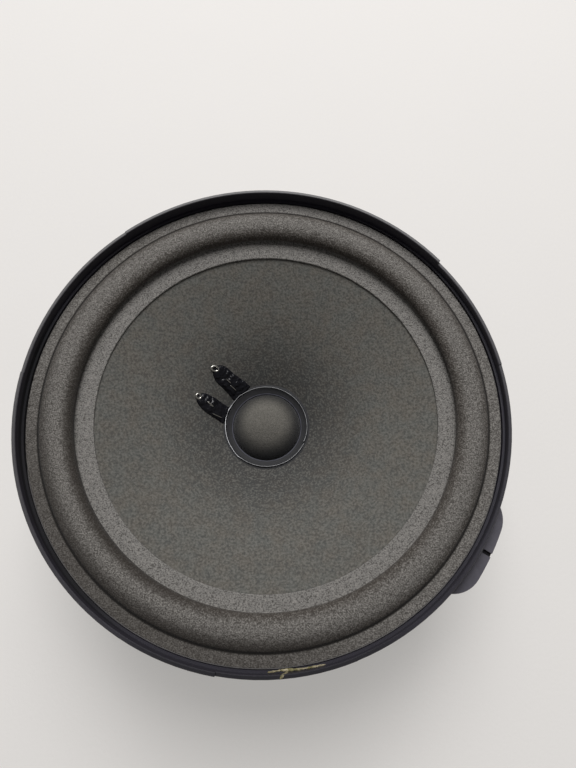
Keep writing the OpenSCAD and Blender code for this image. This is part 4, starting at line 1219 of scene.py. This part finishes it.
class SPEAKER_OT_edge_bead(bpy.types.Operator):
    """Build the grey bead at the surround's edge and the dried glue on the rim"""

    bl_idname = "speaker.edge_bead"
    bl_label = "Glue at the rim"

    def execute(self, context):
        s, glue, tints = scene_settings(context, "front", "glue", "colours")
        t = np.linspace(glue.bead_start, glue.bead_start + glue.bead_arc, 700)
        taper = np.clip(np.minimum(t - t[0], t[-1] - t) / 0.05, 0.02, 1) ** 0.5
        spine, side, up = self.on_circle(t, s.foam_radius + 0.00002, s.seat_height + 0.00055)
        half = 0.00024 * taper * (1 + 0.25 * ripple(t * 40, 0 * t, 61))
        rise = 0.00038 * taper * (1 + 0.35 * ripple(t * 55, 0 * t, 62))
        points = ridge(spine, side, up, half, rise, 0.0005, 16)
        grey = edge_adhesive(tints.bead)
        bead = add_piece("edge_bead", *capped(points), grey, FIXED, "edge_adhesive")
        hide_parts("edge_glue")

        old = dried_glue(tints.smear)
        marks = (
            (glue.smear_start, math.radians(274.3), 0.0810, 0.0806, 0.00030, 71),
            (math.radians(274.0), math.radians(278.6), 0.0806, 0.0810, 0.00044, 72),
            (math.radians(277.8), glue.smear_end, 0.0809, 0.0811, 0.00030, 73),
        )
        for k, (start, end, r0, r1, wide, seed) in enumerate(marks, start=1):
            u = np.linspace(0, 1, 120)
            t = np.linspace(start, end, len(u))
            body = tapered(u, 4, 0.01)
            spine, side, up = self.on_circle(t, r0 + (r1 - r0) * u, glue.ledge_height)
            half = wide * body * (1 + 0.5 * ripple(u * 14, 0 * u, seed))
            rise = 0.00022 * body * (1 + 0.5 * ripple(u * 18, 0 * u, seed + 9))
            points = ridge(spine, side, up, half, rise, 0.0002, 14)
            add_piece(f"dried_glue_{k}", *capped(points), old, FIXED, "edge_adhesive")
        self.stroke(old)
        return {"FINISHED"}

    def on_circle(self, t, r, z):
        """Spine points on a circle, with the directions outwards and up."""
        out = outwards(t)
        spine = out * np.reshape(r, (-1, 1)) + UP * z
        return spine, out, np.broadcast_to(UP, out.shape)

    def stroke(self, old):
        """A short stroke of the same glue over the lip: it climbs the lip's inner face, crosses
        its top and ends on the outer edge, following the rim's outline."""
        path = np.array([[0.08110, 0.06505], [0.08124, 0.0660], [0.08126, 0.0676],
                         [0.08150, 0.06817], [0.0819, 0.06818], [0.0823, 0.06812],
                         [0.08252, 0.0678]])
        line = softened(path, 0.00008, 0.00012)
        u = np.linspace(0, 1, len(line))
        t = np.radians(275.3 - 1.5 * u ** 1.2)
        normal = left_of(line)
        out = outwards(t)
        spine = out * line[:, :1] + UP * line[:, 1:]
        up = out * normal[:, :1] + UP * normal[:, 1:]
        side = np.cross(out, UP)
        body = tapered(u, 4, 0.01)
        half = 0.00060 * body * (1 + 0.4 * ripple(u * 9, 0 * u, 81))
        points = ridge(spine, side, up, half, 0.00012 * body, 0.00015, 14)
        add_piece("dried_glue_stroke", *capped(points), old, FIXED, "edge_adhesive")


class SPEAKER_OT_spider(bpy.types.Operator):
    """Build the corrugated spider between the landing and the former"""

    bl_idname = "speaker.spider"
    bl_label = "Spider"

    def execute(self, context):
        s, b, tints = scene_settings(context, "front", "rear", "colours")
        start = s.neck_radius + b.spider_flat
        r = np.linspace(start, b.spider_waves_end, 160)
        phase = FULL_TURN * b.spider_waves * (r - start) / (b.spider_waves_end - start)
        waves = np.stack([r, b.landing_height + b.spider_wave * np.sin(phase)], axis=1)
        collar = [[s.neck_radius + 0.00025, b.landing_height + 0.0016],
                  [s.neck_radius + 0.00035, b.landing_height + 0.0003]]
        mid = np.vstack([collar, waves + [0, b.cloth / 2],
                         [[b.spider_radius, b.landing_height + b.cloth / 2]]])
        mid[1, 1] = b.landing_height + b.cloth / 2
        mid = softened(mid, 0.0002, 0.00025)
        normal = left_of(mid)
        normal = np.where(normal[:, 1:] < 0, -normal, normal)
        loop = np.vstack([(mid + normal * b.cloth / 2)[::-1], mid - normal * b.cloth / 2])

        def cloth(x, y, r, z):
            """The woven cloth's own unevenness."""
            return 0 * r, 0.00003 * ripple(x * 900, y * 900, 91)

        piece = turned_piece("spider_cloth", loop, TURNS, spider_cloth(tints.spider), None,
                             "spider_cloth", cloth)
        crossing_weights(piece, b.spider_waves_end, s.neck_radius + 0.0006)
        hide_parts("spider")
        return {"FINISHED"}


class SPEAKER_OT_gasket(bpy.types.Operator):
    """Build the foam ring behind the rim"""

    bl_idname = "speaker.gasket"
    bl_label = "Rear gasket"

    def execute(self, context):
        b, tints = scene_settings(context, "rear", "colours")
        low, high = lowest("rear_gasket").z, highest("rear_gasket").z
        box = np.array([[b.gasket_inner, low], [b.gasket_outer, low],
                        [b.gasket_outer, high], [b.gasket_inner, high]])
        loop = softened(box, 0.00025, 0.00022, closed=True)

        def cut(x, y, r, z):
            """A die-cut edge that is slightly ragged."""
            return 0.00012 * ripple(x * 600, y * 600, 95), 0.00003 * ripple(x * 800, y * 800, 96)

        piece = turned_piece("foam_gasket", loop, FINE_TURNS, gasket_foam(tints.gasket), FIXED,
                             "gasket_foam", cut)
        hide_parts("rear_gasket")
        return {"FINISHED"}


class SPEAKER_OT_terminals(bpy.types.Operator):
    """Finish the blades and build the braided tinsel leads"""

    bl_idname = "speaker.terminals"
    bl_label = "Blades and tinsel leads"

    def execute(self, context):
        s, glue, b, tints = scene_settings(context, "front", "glue", "rear", "colours")
        tin = tinned_metal(tints.tin)
        braid = tinsel_braid(tints.copper)
        for k, (side, lead) in enumerate(zip((-1, 1), leads(glue)), start=1):
            paint(f"terminal_blade_{k}", tin)
            self.tinsel(k, side, lead, s, b, braid)
        return {"FINISHED"}

    def tinsel(self, k, side, lead, s, b, braid):
        """A cord on a cubic curve from under the eyelet to its solder tab. Its section at the
        angle w and the run v is a circle whose radius swells by 12 percent on the crowns of two
        sets of strands that wind opposite ways, cos(3 w + q v) and cos(3 w - q v)."""
        lean, away = cone_lean(lead.radius, s), outwards(lead.angle)
        down = away * math.sin(lean) - UP * math.cos(lean)
        start = away * lead.radius + UP * cone_height(lead.radius, s) + down * 0.00093
        out = outwards(b.terminal_angle)
        across = np.cross(UP, out)
        end = (out * b.terminal_radius + across * side * b.terminal_pitch / 2
               + UP * b.terminal_height)
        knots = np.array([start, start + down * b.tinsel_drop, end - out * b.tinsel_reach, end])
        v = np.linspace(0, 1, 260)[:, None]
        route = ((1 - v) ** 3 * knots[0] + 3 * v * (1 - v) ** 2 * knots[1]
                 + 3 * v * v * (1 - v) * knots[2] + v ** 3 * knots[3])
        run = run_along(route)
        along = unit(np.gradient(route, axis=0))
        upper = unit(np.cross(along, across))
        level = np.cross(upper, along)
        w = all_round(40)
        lay = 0.0036
        twist = FULL_TURN * run[:, None] / lay
        crowns = np.maximum(np.cos(3 * w + 3 * twist), np.cos(3 * w - 3 * twist))
        radius = b.tinsel_radius * (0.94 + 0.06 * crowns)
        points = bar(route, upper, level, radius, w)
        piece = add_piece(f"tinsel_braid_{k}", *capped(points), braid, None, "tinsel_braid")
        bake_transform(piece)
        share = np.r_[np.repeat(1 - v[:, 0], len(w)), 1.0, 0.0]
        set_shares(piece, share)
        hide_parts(f"tinsel_lead_{k}")
        2 * b.tinsel_radius


class SPEAKER_OT_stage(bpy.types.Operator):
    """Set the floor, the lamps and the camera"""

    bl_idname = "speaker.stage"
    bl_label = "Stage, lamps and camera"

    def execute(self, context):
        tints = context.scene.speaker_colours
        size = 3.0
        corners = np.array([[-size, -size, 0], [size, -size, 0], [size, size, 0], [-size, size, 0]])
        mesh = bpy.data.meshes.new("floor")
        mesh.from_pydata(corners - [0, 0, 0.0001], [], [[0, 1, 2, 3]])
        mesh.materials.append(floor_board(tints.floor, tints.floor_glow))
        floor = bpy.data.objects.new("floor", mesh)
        context.scene.collection.objects.link(floor)
        self.lamp(context, "sky_light", 90, 60, 0.7, 11.4)
        self.lamp(context, "window_light", 89, 40, 1.0, 4.2)
        world = bpy.data.worlds.new("room")
        world.use_nodes = True
        background = world.node_tree.nodes["Background"]
        background.inputs[0].default_value = (1.0, 0.99, 0.98, 1.0)
        background.inputs[1].default_value = 0.13
        context.scene.world = world
        self.camera(context)
        context.scene.view_settings.view_transform = "Standard"
        return {"FINISHED"}

    def lamp(self, context, name, bearing, elevation, width, watts):
        """A lamp that faces the speaker from a bearing and an elevation in degrees."""
        far, tall, aim = 1.3, 0.7, (0, 0, 0.05)
        a, e = math.radians(bearing), math.radians(elevation)
        light = bpy.data.lights.new(name, "AREA")
        light.shape = "RECTANGLE"
        light.size, light.size_y = width, tall
        light.energy = watts
        lamp = bpy.data.objects.new(name, light)
        out = np.array([math.cos(a) * math.cos(e), math.sin(a) * math.cos(e), math.sin(e)])
        lamp.location = far * out + aim
        lamp.rotation_euler = (math.pi / 2 - e, 0.0, a + math.pi / 2)
        context.scene.collection.objects.link(lamp)

    def camera(self, context):
        """The photograph's view: from 180 mm over the lip, tilted 16.5 degrees."""
        data = bpy.data.cameras.new("photo_view")
        data.sensor_width = 36.0
        data.lens = PHOTO_FOCAL / PHOTO_HEIGHT * data.sensor_width
        data.clip_start, data.clip_end = 0.01, 20.0
        camera = bpy.data.objects.new("photo_view", data)
        camera.location = CAMERA_PLACE
        camera.rotation_euler = (*np.radians(CAMERA_TURNS), 0.0)
        context.scene.collection.objects.link(camera)
        context.scene.camera = camera


class SPEAKER_PT_panel(bpy.types.Panel):
    """Lists the speaker's pieces in the sidebar"""

    bl_idname = "SPEAKER_PT_panel"
    bl_label = "Loudspeaker"
    bl_space_type = "VIEW_3D"
    bl_region_type = "UI"
    bl_category = "Speaker"

    def draw(self, context):
        for operator in OPERATORS:
            self.layout.operator(operator.bl_idname)


OPERATORS = (
    SPEAKER_OT_stage,
    SPEAKER_OT_basket,
    SPEAKER_OT_motor,
    SPEAKER_OT_surround,
    SPEAKER_OT_cone,
    SPEAKER_OT_dust_cap,
    SPEAKER_OT_former,
    SPEAKER_OT_neck_glue,
    SPEAKER_OT_lead_outs,
    SPEAKER_OT_edge_bead,
    SPEAKER_OT_spider,
    SPEAKER_OT_gasket,
    SPEAKER_OT_terminals,
)
GROUPS = {
    "speaker_front": SpeakerFrontSizes,
    "speaker_glue": SpeakerGlueSizes,
    "speaker_rear": SpeakerRearSizes,
    "speaker_colours": SpeakerColours,
}


def register():
    """Adds the settings, the operators and the panel."""
    for cls in (*GROUPS.values(), *OPERATORS, SPEAKER_PT_panel):
        bpy.utils.register_class(cls)
    for name, group in GROUPS.items():
        setattr(bpy.types.Scene, name, bpy.props.PointerProperty(type=group))


def unregister():
    """Removes the panel, the operators and the settings."""
    for name in GROUPS:
        delattr(bpy.types.Scene, name)
    for cls in reversed((*GROUPS.values(), *OPERATORS, SPEAKER_PT_panel)):
        bpy.utils.unregister_class(cls)


def main():
    register()
    for operator in OPERATORS:
        category, name = operator.bl_idname.split(".")
        getattr(getattr(bpy.ops, category), name)()


if __name__ == "__main__":
    main()
